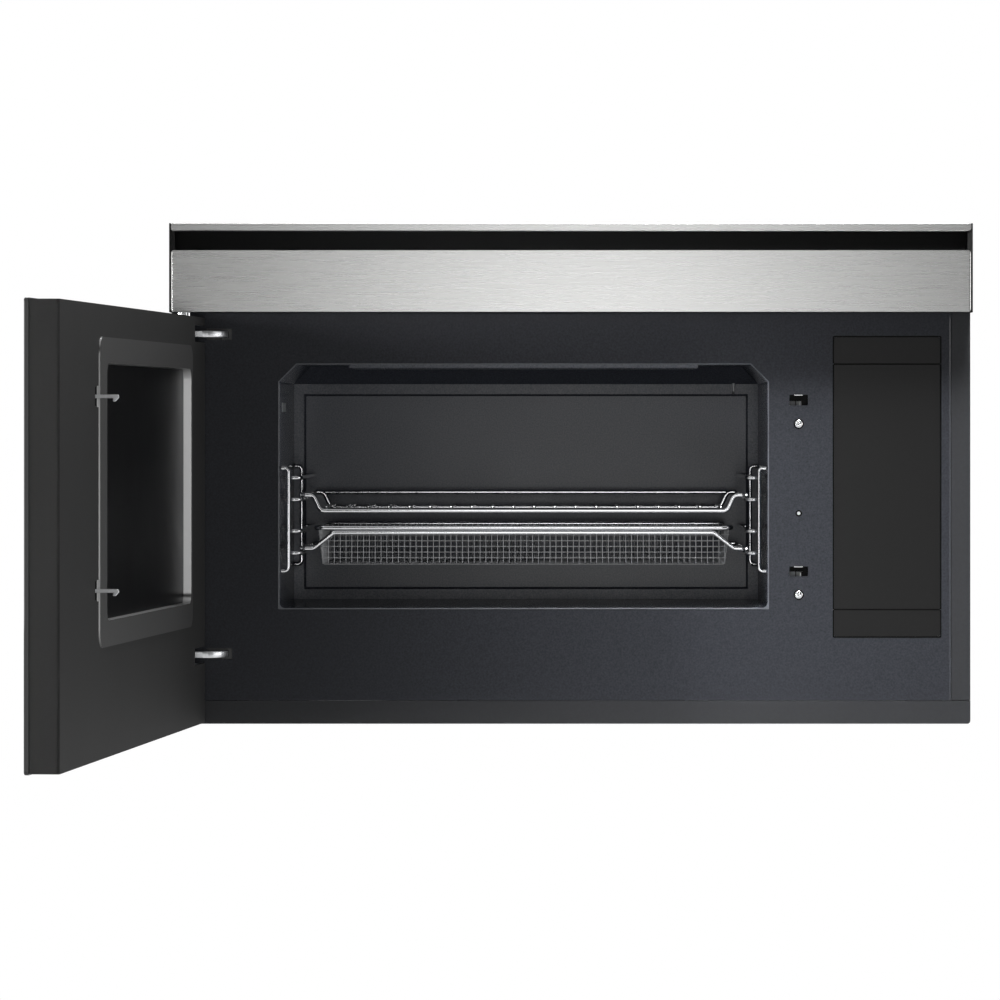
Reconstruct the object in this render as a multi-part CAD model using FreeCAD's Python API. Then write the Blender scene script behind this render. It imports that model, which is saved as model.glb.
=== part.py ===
import FreeCAD, Part
import math
import os
from FreeCAD import Vector

# A microwave oven built in between kitchen cupboards, shown with its door swung open.
# Millimetres. X runs right seen from the front, Y runs into the wall, Z runs up.
# The origin lies on the wall plane, below the middle of the rear panel's lower edge.

# Overall size and sheet metal
WIDTH = 759.0
HEIGHT = 475.0
DEPTH = 400.0
SHEET = 1.2
SEAM = 0.3
SIDE_FLANGE = 18.5
BASE_RIM = 22.0
CORNER_R = 3.0

# Door, in its closed place
DOOR_THICK = 29.0
DOOR_GAP = 2.5
DOOR_SIDE_GAP = 1.5
DOOR_BOTTOM = 1.0
DOOR_TOP_GAP = 4.1
DOOR_OPEN_DEG = 95.0
GLASS = 4.0
DOOR_WALL = 2.5
DOOR_SKIN = 2.0
HINGE_EDGE_R = 6.0
GRIP_WIDTH = 150.0
GRIP_HEIGHT = 14.0

# Hinge
PIVOT_FROM_SIDE = 15.0
PIVOT_FROM_FRONT = 12.0
HINGE_ABOVE_BOTTOM = 65.5
HINGE_BELOW_TOP = 16.5
ARM_THICK = 6.0
ARM_WIDTH = 10.0
ARM_REACH = 33.5
ARM_BEND_R = 18.0
EYE_R = 6.5
PIN_R = 3.0
RUNNING_FIT = 0.06
HINGE_POCKET = 16.0
HINGE_BLOCK = 25.0

# Cavity
CAVITY_WIDTH = 465.7
CAVITY_BELOW_DOOR_TOP = 44.5
CAVITY_DEPTH = 285.0
CAVITY_FROM_LEFT = 101.5
CAVITY_FLOOR = 109.2
CAVITY_CHAMFER = 17.0
CAVITY_SHEET = 1.0
BACK_PANEL_EDGE = 10.0
BACK_PANEL_DEPTH = 3.0
PLATE_EDGE = 12.0
PLATE_THICK = 4.0
WELL_R = 105.0
WELL_DEPTH = 26.0

# Trim above the door
TRIM_INSET = 0.4
TOP_STRIP_HEIGHT = 7.5
VENT_SLOT_HEIGHT = 18.0
FASCIA_HEIGHT = 58.5
VANE_COUNT = 9
VANE_FROM_SIDE = 59.5
FILTER_FROM_SIDE = 79.5
STEEL = 1.2
END_CAP = 5.0
CAP_SHOW = 1.1

# Latch
LATCH_FROM_CAVITY = 28.7
LOWER_SLOT_ABOVE_FLOOR = 31.0
LOWER_SLOT_HEIGHT = 9.2
UPPER_SLOT_BELOW_CEILING = 39.4
UPPER_SLOT_HEIGHT = 10.0
SLOT_WIDTH = 17.7
HOOK_FROM_SLOT = 4.4
HOOK_THICK = 3.0
HOOK_OUT = 20.0
HOOK_NOSE = 4.2
LATCH_SCREW_DROP = 17.6
LOCATING_PIN_ABOVE_FLOOR = 90.8

# Service cover
COVER_FROM_LATCH = 33.0
COVER_FROM_SIDE = 28.2
COVER_BELOW_FLOOR = 26.7
COVER_BELOW_DOOR_TOP = 18.6
COVER_CAP = 26.0
COVER_GAP = 0.5

# Wire ladders, racks and basket
LADDER_R = 2.0
LADDER_STAND = 8.5
LADDER_BOW = 20.3
LADDER_FOOT = 35.5
LADDER_HEIGHT = 98.1
RUNGS_ABOVE_FLOOR = (52.6, 73.6, 103.7, 124.4)
LADDER_FRONT = 15.0
LADDER_REAR = 266.0
RACK_R = 2.25
RACK_FRONT = 22.0
RACK_DEPTH = 222.0
CROSS_R = 1.5
CROSS_COUNT = 20
CROSS_FROM_RUNNER = 24.45
WIRE_GAP = 0.05
UPPER_DROP = 15.0
LOWER_RISE = 15.2
BASKET_HEIGHT = 35.0
BASKET_TAPER = 4.2
BASKET_SHEET = 1.0

# Inside equipment
SHELF_Z = 38.0
GUIDE_HEIGHT = 36.0
GUIDE_WIDTH = 90.0
CONVECTION_HALF = 105.0
CONVECTION_HEIGHT = 37.0
CONVECTION_FORWARD = 14.0
BLOWER_Y = -68.0
BLOWER_BELOW_TOP = 64.0
BLOWER_R = 54.0
FAN_FROM_SIDE = 84.5
FAN_ABOVE_FLOOR = 115.8
FAN_HALF = 70.0
FILTER_WIDTH = 220.0
FILTER_LENGTH = 230.0
FILTER_THICK = 7.5
FILTER_GAP = 0.6
FILTER_X = 225.0
FILTER_Y = -175.0
LAMP_WIDTH = 90.0
LAMP_LENGTH = 40.0
LAMP_FROM_FRONT = 23.5
BOLT_SPACING = 460.0
BOLT_HOLE_R = 3.5
BOLT_Y = -190.0
CORD_FROM_SIDE = 39.5
CORD_FROM_WALL = 45.0
TRAY_FROM_WALL = 66.85
PROBE_FROM_WALL = 24.7

# Values that follow from the sizes above
half = WIDTH / 2
front = -DEPTH
door_inner = front + DOOR_THICK
panel_y = door_inner + DOOR_GAP
panel_back = panel_y + SHEET
panel_half = half - SIDE_FLANGE
trim_top = HEIGHT - TRIM_INSET
slot_top = trim_top - TOP_STRIP_HEIGHT
slot_bottom = slot_top - VENT_SLOT_HEIGHT
trim_bottom = slot_bottom - FASCIA_HEIGHT
door_top = trim_bottom - DOOR_TOP_GAP
hinge_z = (DOOR_BOTTOM + HINGE_ABOVE_BOTTOM, door_top - HINGE_BELOW_TOP)
door_left = -half + DOOR_SIDE_GAP
door_right = half - DOOR_SIDE_GAP
pivot_x = -half + PIVOT_FROM_SIDE
pivot_y = front + PIVOT_FROM_FRONT
cav_left = -half + CAVITY_FROM_LEFT
cav_right = cav_left + CAVITY_WIDTH
cav_x = (cav_left + cav_right) / 2
cav_floor = CAVITY_FLOOR
cav_top = door_top - CAVITY_BELOW_DOOR_TOP
cav_back = panel_y + CAVITY_DEPTH
cav_y = (panel_y + cav_back) / 2
convection_y = cav_y - CONVECTION_FORWARD
well_bottom = cav_floor - PLATE_THICK - CAVITY_SHEET - WELL_DEPTH
guide_bottom = well_bottom - CAVITY_SHEET - GUIDE_HEIGHT
guide_left = cav_right + CAVITY_SHEET + 2.0
slot_x = cav_right + LATCH_FROM_CAVITY
hook_x = slot_x - HOOK_FROM_SLOT
lower_slot = cav_floor + LOWER_SLOT_ABOVE_FLOOR
upper_slot = cav_top - UPPER_SLOT_BELOW_CEILING
latch_slots = ((lower_slot, lower_slot + LOWER_SLOT_HEIGHT), (upper_slot, upper_slot + UPPER_SLOT_HEIGHT))
slot_z = [(low + high) / 2 for low, high in latch_slots]
latch_screw_z = [low - LATCH_SCREW_DROP for low, high in latch_slots]
locating_pin_z = cav_floor + LOCATING_PIN_ABOVE_FLOOR
cover_left = slot_x + COVER_FROM_LATCH
cover_right = half - COVER_FROM_SIDE
cover_bottom = cav_floor - COVER_BELOW_FLOOR
cover_top = door_top - COVER_BELOW_DOOR_TOP
cover_seams = (cover_bottom + COVER_CAP, cover_top - COVER_CAP)
ladder_z = (cav_floor + LADDER_FOOT, cav_floor + LADDER_FOOT + LADDER_HEIGHT)
rung_z = [cav_floor + above for above in RUNGS_ABOVE_FLOOR]
rack_front = panel_y + RACK_FRONT
rack_rear = rack_front + RACK_DEPTH
runner_left = cav_left + LADDER_BOW
runner_right = cav_right - LADDER_BOW
cross_first = runner_left + CROSS_FROM_RUNNER
cross_pitch = (runner_right - CROSS_FROM_RUNNER - cross_first) / (CROSS_COUNT - 1)
upper_z = rung_z[2] + LADDER_R + RACK_R + WIRE_GAP
lower_z = rung_z[0] + LADDER_R + RACK_R + WIRE_GAP
carry_z = lower_z + LOWER_RISE
rim_z = carry_z + 2 * RACK_R + WIRE_GAP
lamp_front = panel_y + LAMP_FROM_FRONT
blower_z = HEIGHT - BLOWER_BELOW_TOP
fan_x = half - FAN_FROM_SIDE
fan_z = cav_floor + FAN_ABOVE_FLOOR
cord_x = half - CORD_FROM_SIDE
cord_y = -CORD_FROM_WALL
door_hole = [cav_left - 5.0, cav_right - 23.7, cav_floor + 8.8, cav_top - 6.0]
choke_edge = [cav_left - 14.0, cav_right + 10.3, cav_floor - 13.2, cav_top + 16.0]

X_AXIS = Vector(1, 0, 0)
Y_AXIS = Vector(0, 1, 0)
Z_AXIS = Vector(0, 0, 1)


def box(x0, x1, y0, y1, z0, z1):
    return Part.makeBox(x1 - x0, y1 - y0, z1 - z0, Vector(x0, y0, z0))


def rod(x, y, z, axis, radius, length):
    return Part.makeCylinder(radius, length, Vector(x, y, z), axis)


def drum(x, y, z, axis, radius, length, sides=16):
    # A many-sided rod for the large round pieces out of sight.
    centre = Vector(x, y, z)
    side = axis.cross(Vector(axis.y, axis.z, axis.x))
    other = axis.cross(side)
    angles = [2 * math.pi * (number + 0.5) / sides for number in range(sides)]
    ring = [centre + side * radius * math.cos(a) + other * radius * math.sin(a) for a in angles]
    return prism(ring, axis * length)


def prism(points, travel):
    loop = Part.makePolygon(points + [points[0]])
    return Part.Face(loop).extrude(travel)


def join(shapes):
    return shapes[0].multiFuse(shapes[1:]).removeSplitter()


def round_edges(shape, axis, radius, keep=None):
    # Rounds the straight edges that run along one axis.
    edges = []
    for edge in shape.Edges:
        along = abs(edge.tangentAt(edge.FirstParameter).dot(axis)) > 0.999
        if along and (keep is None or keep(edge.CenterOfMass)):
            edges.append(edge)
    return shape.makeFillet(radius, edges)


def bevel_front(shape):
    # Breaks the two long front edges of a steel strip.
    edges = [e for e in shape.Edges if e.Length > WIDTH / 2 and abs(e.CenterOfMass.y - front) < 0.1]
    return shape.makeChamfer(0.7, edges)


def rounded_slab(x0, x1, y0, y1, z0, z1, radius):
    return round_edges(box(x0, x1, y0, y1, z0, z1), Y_AXIS, radius)


def bent_path(points, bend):
    # The corners of a wire's course, each bend replaced by a short chord.
    course = [points[0]]
    for before, corner, after in zip(points, points[1:], points[2:]):
        into = (corner - before).normalize()
        out = (after - corner).normalize()
        turn = into.getAngle(out)
        begin = corner - into * bend * math.tan(turn / 2)
        axis = into.cross(out).normalize()
        centre = begin + axis.cross(into) * bend
        spin = FreeCAD.Rotation(axis, math.degrees(turn))
        course.append(begin)
        course.append(centre + spin.multVec(begin - centre))
    return course + [points[-1]]


def wire(course, radius):
    # An eight-sided wire with mitred joints along a course of points.
    way = (course[1] - course[0]).normalize()
    side = way.cross(Z_AXIS if abs(way.z) < 0.9 else X_AXIS).normalize()
    other = way.cross(side)
    angles = [math.radians(45 * number + 22.5) for number in range(8)]
    ring = [course[0] + side * radius * math.cos(a) + other * radius * math.sin(a) for a in angles]
    faces = [Part.Face(Part.makePolygon(ring + [ring[0]]))]
    for number in range(1, len(course)):
        way = (course[number] - course[number - 1]).normalize()
        cut = way
        if number < len(course) - 1:
            cut = (way + (course[number + 1] - course[number]).normalize()).normalize()
        moved = [p + way * ((course[number] - p).dot(cut) / way.dot(cut)) for p in ring]
        for a in range(8):
            b = (a + 1) % 8
            faces.append(Part.Face(Part.makePolygon([ring[a], ring[b], moved[b], moved[a], ring[a]])))
        ring = moved
    faces.append(Part.Face(Part.makePolygon(ring + [ring[0]])))
    solid = Part.Solid(Part.makeShell(faces))
    solid.fixTolerance(1e-5)
    return solid if solid.Volume > 0 else solid.reversed()


def bent_wire(points, radius, bend):
    return wire(bent_path(points, bend), radius)


def mirrored_x(shape, x):
    return shape.mirror(Vector(x, 0, 0), X_AXIS)


# Case


def outer_case():
    # One bent sheet makes the top, both sides and the narrow front flanges.
    low = BASE_RIM + SEAM
    shell = box(-half, half, panel_y, -SHEET, low, HEIGHT)
    shell = shell.cut(box(-half + SHEET, half - SHEET, panel_y, -SHEET, low, HEIGHT - SHEET))
    flange = box(-half, -panel_half - SEAM, panel_y, panel_back, low, HEIGHT - SHEET)
    shell = join([shell, flange, mirrored_x(flange, 0)])
    holes = [drum(cord_x, cord_y, HEIGHT - 5, Z_AXIS, 9.0, 10)]
    for side in (-1, 1):
        holes.append(rod(side * BOLT_SPACING / 2, BOLT_Y, HEIGHT - 5, Z_AXIS, BOLT_HOLE_R, 10))
    return shell.cut(holes)


def rear_panel():
    # The wall side: a plain sheet with two slots that hang on the wall bracket.
    panel = box(-half, half, -SHEET, 0, 0, HEIGHT)
    slots = []
    for x in (-BOLT_SPACING / 2, BOLT_SPACING / 2):
        slots.append(box(x - 35, x + 35, -SHEET - 1, 1, 34, 48))
    return panel.cut(slots)


def base_pan():
    # A shallow tray with openings for the two grease filters and the cooktop light.
    pan = box(-half, half, panel_y, -SHEET, 0, BASE_RIM)
    pan = round_edges(pan, Y_AXIS, CORNER_R, lambda p: p.z < 1)
    hollow = box(-half + SHEET, half - SHEET, panel_back, -2 * SHEET, SHEET, BASE_RIM + 1)
    hollow = round_edges(hollow, Y_AXIS, CORNER_R - SHEET, lambda p: p.z < SHEET + 1)
    pan = pan.cut(hollow)
    wide = FILTER_WIDTH / 2 + FILTER_GAP
    long = FILTER_LENGTH / 2 + FILTER_GAP
    openings = [lamp_slab(0, -1, 3)]
    for x in (-FILTER_X, FILTER_X):
        openings.append(box(x - wide, x + wide, FILTER_Y - long, FILTER_Y + long, -1, 3))
    return pan.cut(openings)


def lamp_slab(grow, z0, z1):
    x = LAMP_WIDTH / 2 + grow
    return box(-x, x, lamp_front - grow, lamp_front + LAMP_LENGTH + grow, z0, z1)


def base_lamp_lens():
    return join([lamp_slab(-0.3, 0.2, SHEET), lamp_slab(5, SHEET, 3.2)])


def mouth(grow, y0, y1):
    # The cavity's outline with its two chamfered upper corners.
    slip = grow * (math.sqrt(2) - 1)
    x0, x1 = cav_left - grow, cav_right + grow
    z0, z1 = cav_floor - grow, cav_top + grow
    step = CAVITY_CHAMFER + grow - slip
    corners = [(x0, z0), (x1, z0), (x1, z1 - step), (x1 - step, z1), (x0 + step, z1), (x0, z1 - step)]
    return prism([Vector(x, y0, z) for x, z in corners], Vector(0, y1 - y0, 0))


def hinge_slot(z):
    x = pivot_x + ARM_REACH
    w = ARM_WIDTH / 2
    return box(x - w - 10, x + w + 4, panel_y - 1, panel_back + 1, z - 5.5, z + 5.5)


def front_panel():
    # The painted face with the cavity mouth and every slot the door parts pass through.
    low, high = BASE_RIM + SEAM, HEIGHT - SHEET - SEAM
    panel = box(-panel_half, panel_half, panel_y, panel_back, low, high)
    opening = mouth(0, panel_y - 1, panel_back + 1)
    cuts = [round_edges(opening, Y_AXIS, 4.5, lambda p: p.z < cav_floor + 1)]
    cuts.append(rounded_slab(cover_left, cover_right, panel_y - 1, panel_back + 1,
                             cover_bottom, cover_top, 3.5))
    cuts.append(box(-half + 30, half - 30, panel_y - 1, panel_back + 1, slot_bottom, slot_top))
    for low, high in latch_slots:
        left, right = slot_x - SLOT_WIDTH / 2, slot_x + SLOT_WIDTH / 2
        cuts.append(box(left, right, panel_y - 1, panel_back + 1, low, high))
    for z in latch_screw_z:
        cuts.append(drum(slot_x, panel_y - 1, z, Y_AXIS, 2.1, 4, 8))
    cuts.append(rod(slot_x, panel_y - 1, locating_pin_z, Y_AXIS, 3.1, 4))
    for z in hinge_z:
        cuts.append(hinge_slot(z))
    return panel.cut(cuts)


# Service cover


def cover_plate(z0, z1):
    # A flush plate with two lips that grip behind the painted panel.
    x0, x1 = cover_left + COVER_GAP, cover_right - COVER_GAP
    plate = box(x0, x1, panel_y, panel_back + 2, z0, z1)
    lips = box(x0 - 5, x1 + 5, panel_back, panel_back + 2, z0, z1)
    return plate, lips


def cover_middle():
    plate, lips = cover_plate(cover_seams[0] + COVER_GAP / 2, cover_seams[1] - COVER_GAP / 2)
    posts = []
    for x in (cover_left + 10, cover_right - 10):
        for z in (cover_seams[0] + 15, cover_seams[1] - 15):
            posts.append(drum(x, panel_back + 1.5, z, Y_AXIS, 3.0, 10, 8))
    return join([plate, lips] + posts)


def cover_caps():
    caps = []
    for z0, z1 in ((cover_bottom + COVER_GAP, cover_seams[0] - COVER_GAP / 2),
                   (cover_seams[1] + COVER_GAP / 2, cover_top - COVER_GAP)):
        plate, lips = cover_plate(z0, z1)
        edge = max if z0 > cover_seams[0] else min
        outer = edge(z0, z1)
        plate = round_edges(plate, Y_AXIS, 3.0, lambda p: abs(p.z - outer) < 1)
        caps.append(join([plate, lips]))
    return Part.makeCompound(caps)


def control_board():
    y = panel_back + 11.5
    board = box(cover_left - 4, cover_right + 4, y, y + 1.6, cover_seams[0], cover_seams[1])
    relay = box(cover_left + 8, cover_left + 38, y + 1.6, y + 20, 130, 158)
    coil = box(cover_right - 47, cover_right - 12, y + 1.6, y + 28, 200, 240)
    can = drum(cover_left + 30, y + 1.6, 250, Y_AXIS, 9, 22)
    return join([board, relay, coil, can])


# Cavity


def cavity_space(grow):
    # The cavity with its upper rear edge chamfered like its upper corners.
    space = mouth(grow, panel_back, cav_back + grow)
    slip = grow * (math.sqrt(2) - 1)
    y0, y1 = cav_back - CAVITY_CHAMFER + slip, cav_back + grow
    z0, z1 = cav_top - CAVITY_CHAMFER + slip, cav_top + grow
    more = 5.0
    wedge = [(y0 - more, z1 + more), (y1 + more, z1 + more), (y1 + more, z0 - more)]
    points = [Vector(cav_left - 50, y, z) for y, z in wedge]
    return space.cut(prism(points, Vector(CAVITY_WIDTH + 100, 0, 0)))


def ceiling_slots(z):
    # Air slots of the convection fan: a ring of long outlets around short inlets.
    slots = []
    for turn in range(12):
        slot = box(70, 95, -5, 5, z - 6, z + 6)
        slots.append(slot.rotate(Vector(0, 0, 0), Z_AXIS, turn * 30))
    for turn in range(6):
        slot = box(22, 52, -4, 4, z - 6, z + 6)
        slots.append(slot.rotate(Vector(0, 0, 0), Z_AXIS, turn * 60))
    for slot in slots:
        slot.translate(Vector(cav_x, convection_y, 0))
    return slots


def lamp_window(x0, x1, grow):
    return box(x0, x1, panel_y + 62 - grow, panel_y + 120 + grow,
               cav_top - 45.5 - grow, cav_top - 36.5 + grow)


def cavity_wrap():
    # Both side walls and the ceiling, bent from one enamelled sheet.
    shell = cavity_space(CAVITY_SHEET).cut(cavity_space(0))
    shell = shell.cut(box(-half, half, panel_y, 0, 0, cav_floor))
    shell = shell.cut(box(-half, half, cav_back, 0, 0, HEIGHT))
    cuts = ceiling_slots(cav_top)
    cuts.append(lamp_window(cav_left - 2, cav_left + 1, 0))
    return shell.cut(cuts)


def cavity_back_wall():
    # The rear wall with a shallow panel pressed away from the food.
    x0, x1 = cav_left - CAVITY_SHEET, cav_right + CAVITY_SHEET
    top = cav_top - CAVITY_CHAMFER
    wall = box(x0, x1, cav_back, cav_back + CAVITY_SHEET, cav_floor, top)
    x0, x1 = cav_left + BACK_PANEL_EDGE, cav_right - BACK_PANEL_EDGE
    z0, z1 = cav_floor + BACK_PANEL_EDGE, top - BACK_PANEL_EDGE
    pan = rounded_slab(x0, x1, cav_back, cav_back + BACK_PANEL_DEPTH + CAVITY_SHEET, z0, z1, 6)
    recess = rounded_slab(x0 + 1, x1 - 1, cav_back - 1, cav_back + BACK_PANEL_DEPTH, z0 + 1, z1 - 1, 5)
    return join([wall, pan]).cut(recess)


def cavity_floor_pan():
    # The floor sheet steps down to a ledge for the ceramic plate and a round antenna well.
    x0, x1 = cav_left - CAVITY_SHEET, cav_right + CAVITY_SHEET
    y1 = cav_back + CAVITY_SHEET
    sheet = box(x0, x1, panel_back, y1, cav_floor - CAVITY_SHEET, cav_floor)
    ledge_z = cav_floor - PLATE_THICK - CAVITY_SHEET
    edge = PLATE_EDGE - CAVITY_SHEET
    step = box(cav_left + edge, cav_right - edge, panel_y + edge, cav_back - edge, ledge_z, cav_floor)
    well_z = well_bottom - CAVITY_SHEET
    well = drum(cav_x, cav_y, well_z, Z_AXIS, WELL_R + CAVITY_SHEET, WELL_DEPTH + 1.5, 24)
    pan = join([sheet, step, well])
    edge = PLATE_EDGE
    hollow = box(cav_left + edge, cav_right - edge, panel_y + edge, cav_back - edge,
                 cav_floor - PLATE_THICK, cav_floor + 1)
    inside = drum(cav_x, cav_y, well_bottom, Z_AXIS, WELL_R, WELL_DEPTH + 5, 24)
    shaft = drum(cav_x, cav_y, well_bottom - 5, Z_AXIS, 12, 10)
    return pan.cut([hollow, inside, shaft])


def floor_plate():
    edge = PLATE_EDGE + 0.2
    plate = box(cav_left + edge, cav_right - edge, panel_y + edge, cav_back - edge,
                cav_floor - PLATE_THICK, cav_floor)
    return round_edges(plate, Z_AXIS, 2.0)


def ceiling_cover():
    # A slotted tray under the convection fan; its turned-up rim meets the ceiling.
    x0, x1 = cav_left + TRAY_FROM_WALL, cav_right - TRAY_FROM_WALL
    y0, y1 = panel_y + 8, convection_y + 110
    tray = box(x0, x1, y0, y1, cav_top - 4, cav_top)
    tray = tray.cut(box(x0 + 1, x1 - 1, y0 + 1, y1 - 1, cav_top - 3, cav_top + 1))
    return tray.cut(ceiling_slots(cav_top - 4))


def cavity_probe():
    x = cav_right - PROBE_FROM_WALL
    z = cav_top - 26
    points = [Vector(x, cav_back, z), Vector(x, cav_back - 6, z), Vector(x, cav_back - 6, z + 10)]
    return bent_wire(points, 1.6, 2.5)


def lamp_lens():
    lens = lamp_window(cav_left - 1, cav_left + 0.6, -0.2)
    return join([lens, lamp_window(cav_left - 6, cav_left - 1, 6)])


def side_ladder(left):
    # Two upright wires bent into the wall and four rails bowed towards the middle.
    y0, y1 = panel_y + LADDER_FRONT, panel_y + LADDER_REAR
    stand = cav_left + LADDER_STAND
    bow = cav_left + LADDER_BOW
    low, high = ladder_z
    wires = []
    for y in (y0, y1):
        points = [(cav_left, low), (stand, low), (stand, high), (cav_left, high)]
        wires.append(bent_wire([Vector(x, y, z) for x, z in points], LADDER_R, 4.0))
    near = stand + LADDER_R + WIRE_GAP
    for z in rung_z:
        points = [(near, y0), (bow, y0), (bow, y1), (near, y1)]
        wires.append(bent_wire([Vector(x, y, z) for x, y in points], LADDER_R, 6.0))
    ladder = Part.makeCompound(wires)
    return ladder if left else mirrored_x(ladder, cav_x)


# Racks and basket


def rack_profile(y, shoulder_z, level_z, shoulder, foot):
    # The bent front or rear wire of a rack, from runner to runner.
    x0, x1 = runner_left + RACK_R + WIRE_GAP, runner_right - RACK_R - WIRE_GAP
    points = [(x0, shoulder_z), (runner_left + shoulder, shoulder_z), (runner_left + foot, level_z),
              (runner_right - foot, level_z), (runner_right - shoulder, shoulder_z), (x1, shoulder_z)]
    return bent_wire([Vector(x, y, z) for x, z in points], RACK_R, 6.0)


def runners(z):
    length = rack_rear - rack_front + 2 * RACK_R
    y = rack_front - RACK_R
    return [wire([Vector(x, y, z), Vector(x, y + length, z)], RACK_R) for x in (runner_left, runner_right)]


def upper_rack():
    level = upper_z - UPPER_DROP
    wires = runners(upper_z)
    for y in (rack_front, rack_rear):
        wires.append(rack_profile(y, upper_z, level, 11.5, 18.5))
    guard_y = rack_rear - 2 * RACK_R - WIRE_GAP
    guard_x = runner_left + 11.5
    guard_end = 2 * cav_x - guard_x
    wires.append(wire([Vector(guard_x, guard_y, upper_z), Vector(guard_end, guard_y, upper_z)], RACK_R))
    z = level + RACK_R + CROSS_R + WIRE_GAP
    for number in range(CROSS_COUNT):
        x = cross_first + number * cross_pitch
        wires.append(wire([Vector(x, rack_front - 2, z), Vector(x, rack_rear + 2, z)], CROSS_R))
    return Part.makeCompound(wires)


def lower_rack():
    wires = runners(lower_z)
    for y in (rack_front, rack_rear):
        wires.append(rack_profile(y, lower_z, carry_z, 11.5, 31.0))
    return Part.makeCompound(wires)


def net(corner, right, up, columns, rows, bar):
    # A flat net: one sheet with a regular grid of openings, bar wide between them.
    normal = right.cross(up).normalize()
    loops = [Part.makePolygon([corner, corner + right, corner + right + up, corner + up, corner])]
    side = right * (1.0 / columns)
    rise = up * (1.0 / rows)
    edge_side = Vector(right).normalize() * bar
    edge_rise = Vector(up).normalize() * bar
    for column in range(columns):
        for row in range(rows):
            a = corner + side * column + rise * row + edge_side + edge_rise
            b = a + side - edge_side * 2
            d = a + rise - edge_rise * 2
            loops.append(Part.makePolygon([a, d, d + (b - a), b, a]))
    return Part.Face(loops, "Part::FaceMakerBullseye").extrude(normal * BASKET_SHEET)


def fry_basket():
    # A wire-mesh tray that hangs by its rim on the lower rack's front and rear wires.
    x0, x1 = runner_left + 14.5, runner_right - 14.5
    corners = [(x0 + 20, rack_front), (x1, rack_front), (x1, rack_rear),
               (x0, rack_rear), (x0, rack_front), (x0 + 19.9, rack_front)]
    rim = bent_wire([Vector(x, y, rim_z) for x, y in corners], RACK_R, 8.0)
    top = rim_z - RACK_R
    low = rim_z - BASKET_HEIGHT
    y0 = rack_front + RACK_R + 0.3
    y1 = rack_rear - RACK_R - 0.3
    taper = BASKET_TAPER
    tall = top - low
    left, right = x0 + taper + 1.3, x1 - taper - 1.3
    across = Vector(right - left, 0, 0)
    upright = Vector(0, 0, rim_z - low)
    walls = [net(Vector(left, y, low), across, upright, 14, 1, 1.2) for y in (y0 + BASKET_SHEET, y1)]
    gap = BASKET_SHEET + 0.2
    inner = y1 - y0 - 2 * gap
    along = Vector(0, inner, 0)
    walls.append(net(Vector(left - 0.3, y0 + gap, low), along, Vector(-taper, 0, tall), 6, 1, 1.2))
    walls.append(net(Vector(right + 0.3, y1 - gap, low), along * -1, Vector(taper, 0, tall), 6, 1, 1.2))
    walls.append(net(Vector(left + 1.5, y0 + gap, low), Vector(right - left - 3, 0, 0), along, 8, 3, 1.2))
    return Part.makeCompound([rim] + walls)


# Trim above the door


def trim_carrier():
    # A black moulding behind the steel: end caps, a vent channel and upright vanes in it.
    skin = front + STEEL
    body = box(-half, half, skin, panel_y, trim_bottom, trim_top - STEEL)
    channel = box(-half + END_CAP, half - END_CAP, skin - 1, panel_y + 1, slot_bottom, slot_top)
    hollow = box(-half + END_CAP, half - END_CAP, skin + 2, panel_y + 1, trim_bottom + 2, slot_bottom - 2)
    body = body.cut([channel, hollow])
    cap = box(-half, -half + CAP_SHOW - 0.2, front, panel_y, trim_bottom - 0.2, trim_top)
    cap = round_edges(cap, X_AXIS, 1.5, lambda p: p.y < front + 1)
    vanes = []
    pitch = (WIDTH - 2 * VANE_FROM_SIDE) / (VANE_COUNT - 1)
    for number in range(VANE_COUNT):
        x = -half + VANE_FROM_SIDE + number * pitch
        vanes.append(box(x - 1, x + 1, skin + 10, panel_y - 4, slot_bottom - 0.5, slot_top + 0.5))
    return join([body, cap, mirrored_x(cap, 0)] + vanes)


def steel_strip(z0, z1, back_top, back_bottom):
    # A folded steel strip: flat face with rounded ends and turned-back upper and lower edges.
    x = half - CAP_SHOW
    face = rounded_slab(-x, x, front, front + STEEL, z0, z1, CORNER_R)
    upper = box(-x + CORNER_R, x - CORNER_R, front, back_top, z1 - STEEL, z1)
    lower = box(-x + CORNER_R, x - CORNER_R, front, back_bottom, z0, z0 + STEEL)
    return join([face, upper, lower])


def trim_top_strip():
    strip = steel_strip(slot_top, trim_top, panel_y, front + STEEL)
    return bevel_front(strip)


def trim_fascia():
    strip = steel_strip(trim_bottom, slot_bottom, front + STEEL, front + STEEL)
    return bevel_front(strip)


def charcoal_filter():
    # A framed pad in the exhaust path behind the vent slot, with slots that let air through.
    y = panel_back
    side = half - FILTER_FROM_SIDE
    pad = box(-side, side, y, y + 14, slot_bottom - 8, HEIGHT - SHEET)
    slots = []
    pitch = 2 * side / 14
    for number in range(14):
        x = -side + (number + 0.5) * pitch
        slots.append(box(x - pitch * 0.4, x + pitch * 0.4, y - 1, y + 15, slot_bottom + 1, slot_top - 1))
    return pad.cut(slots)


def cord_gland():
    flange = drum(cord_x, cord_y, HEIGHT - SHEET - 3, Z_AXIS, 12, 3)
    barrel = drum(cord_x, cord_y, HEIGHT - 20, Z_AXIS, 8.9, 20)
    return join([flange, barrel]).cut(drum(cord_x, cord_y, HEIGHT - 25, Z_AXIS, 4.5, 30))


# Latch on the case


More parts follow.
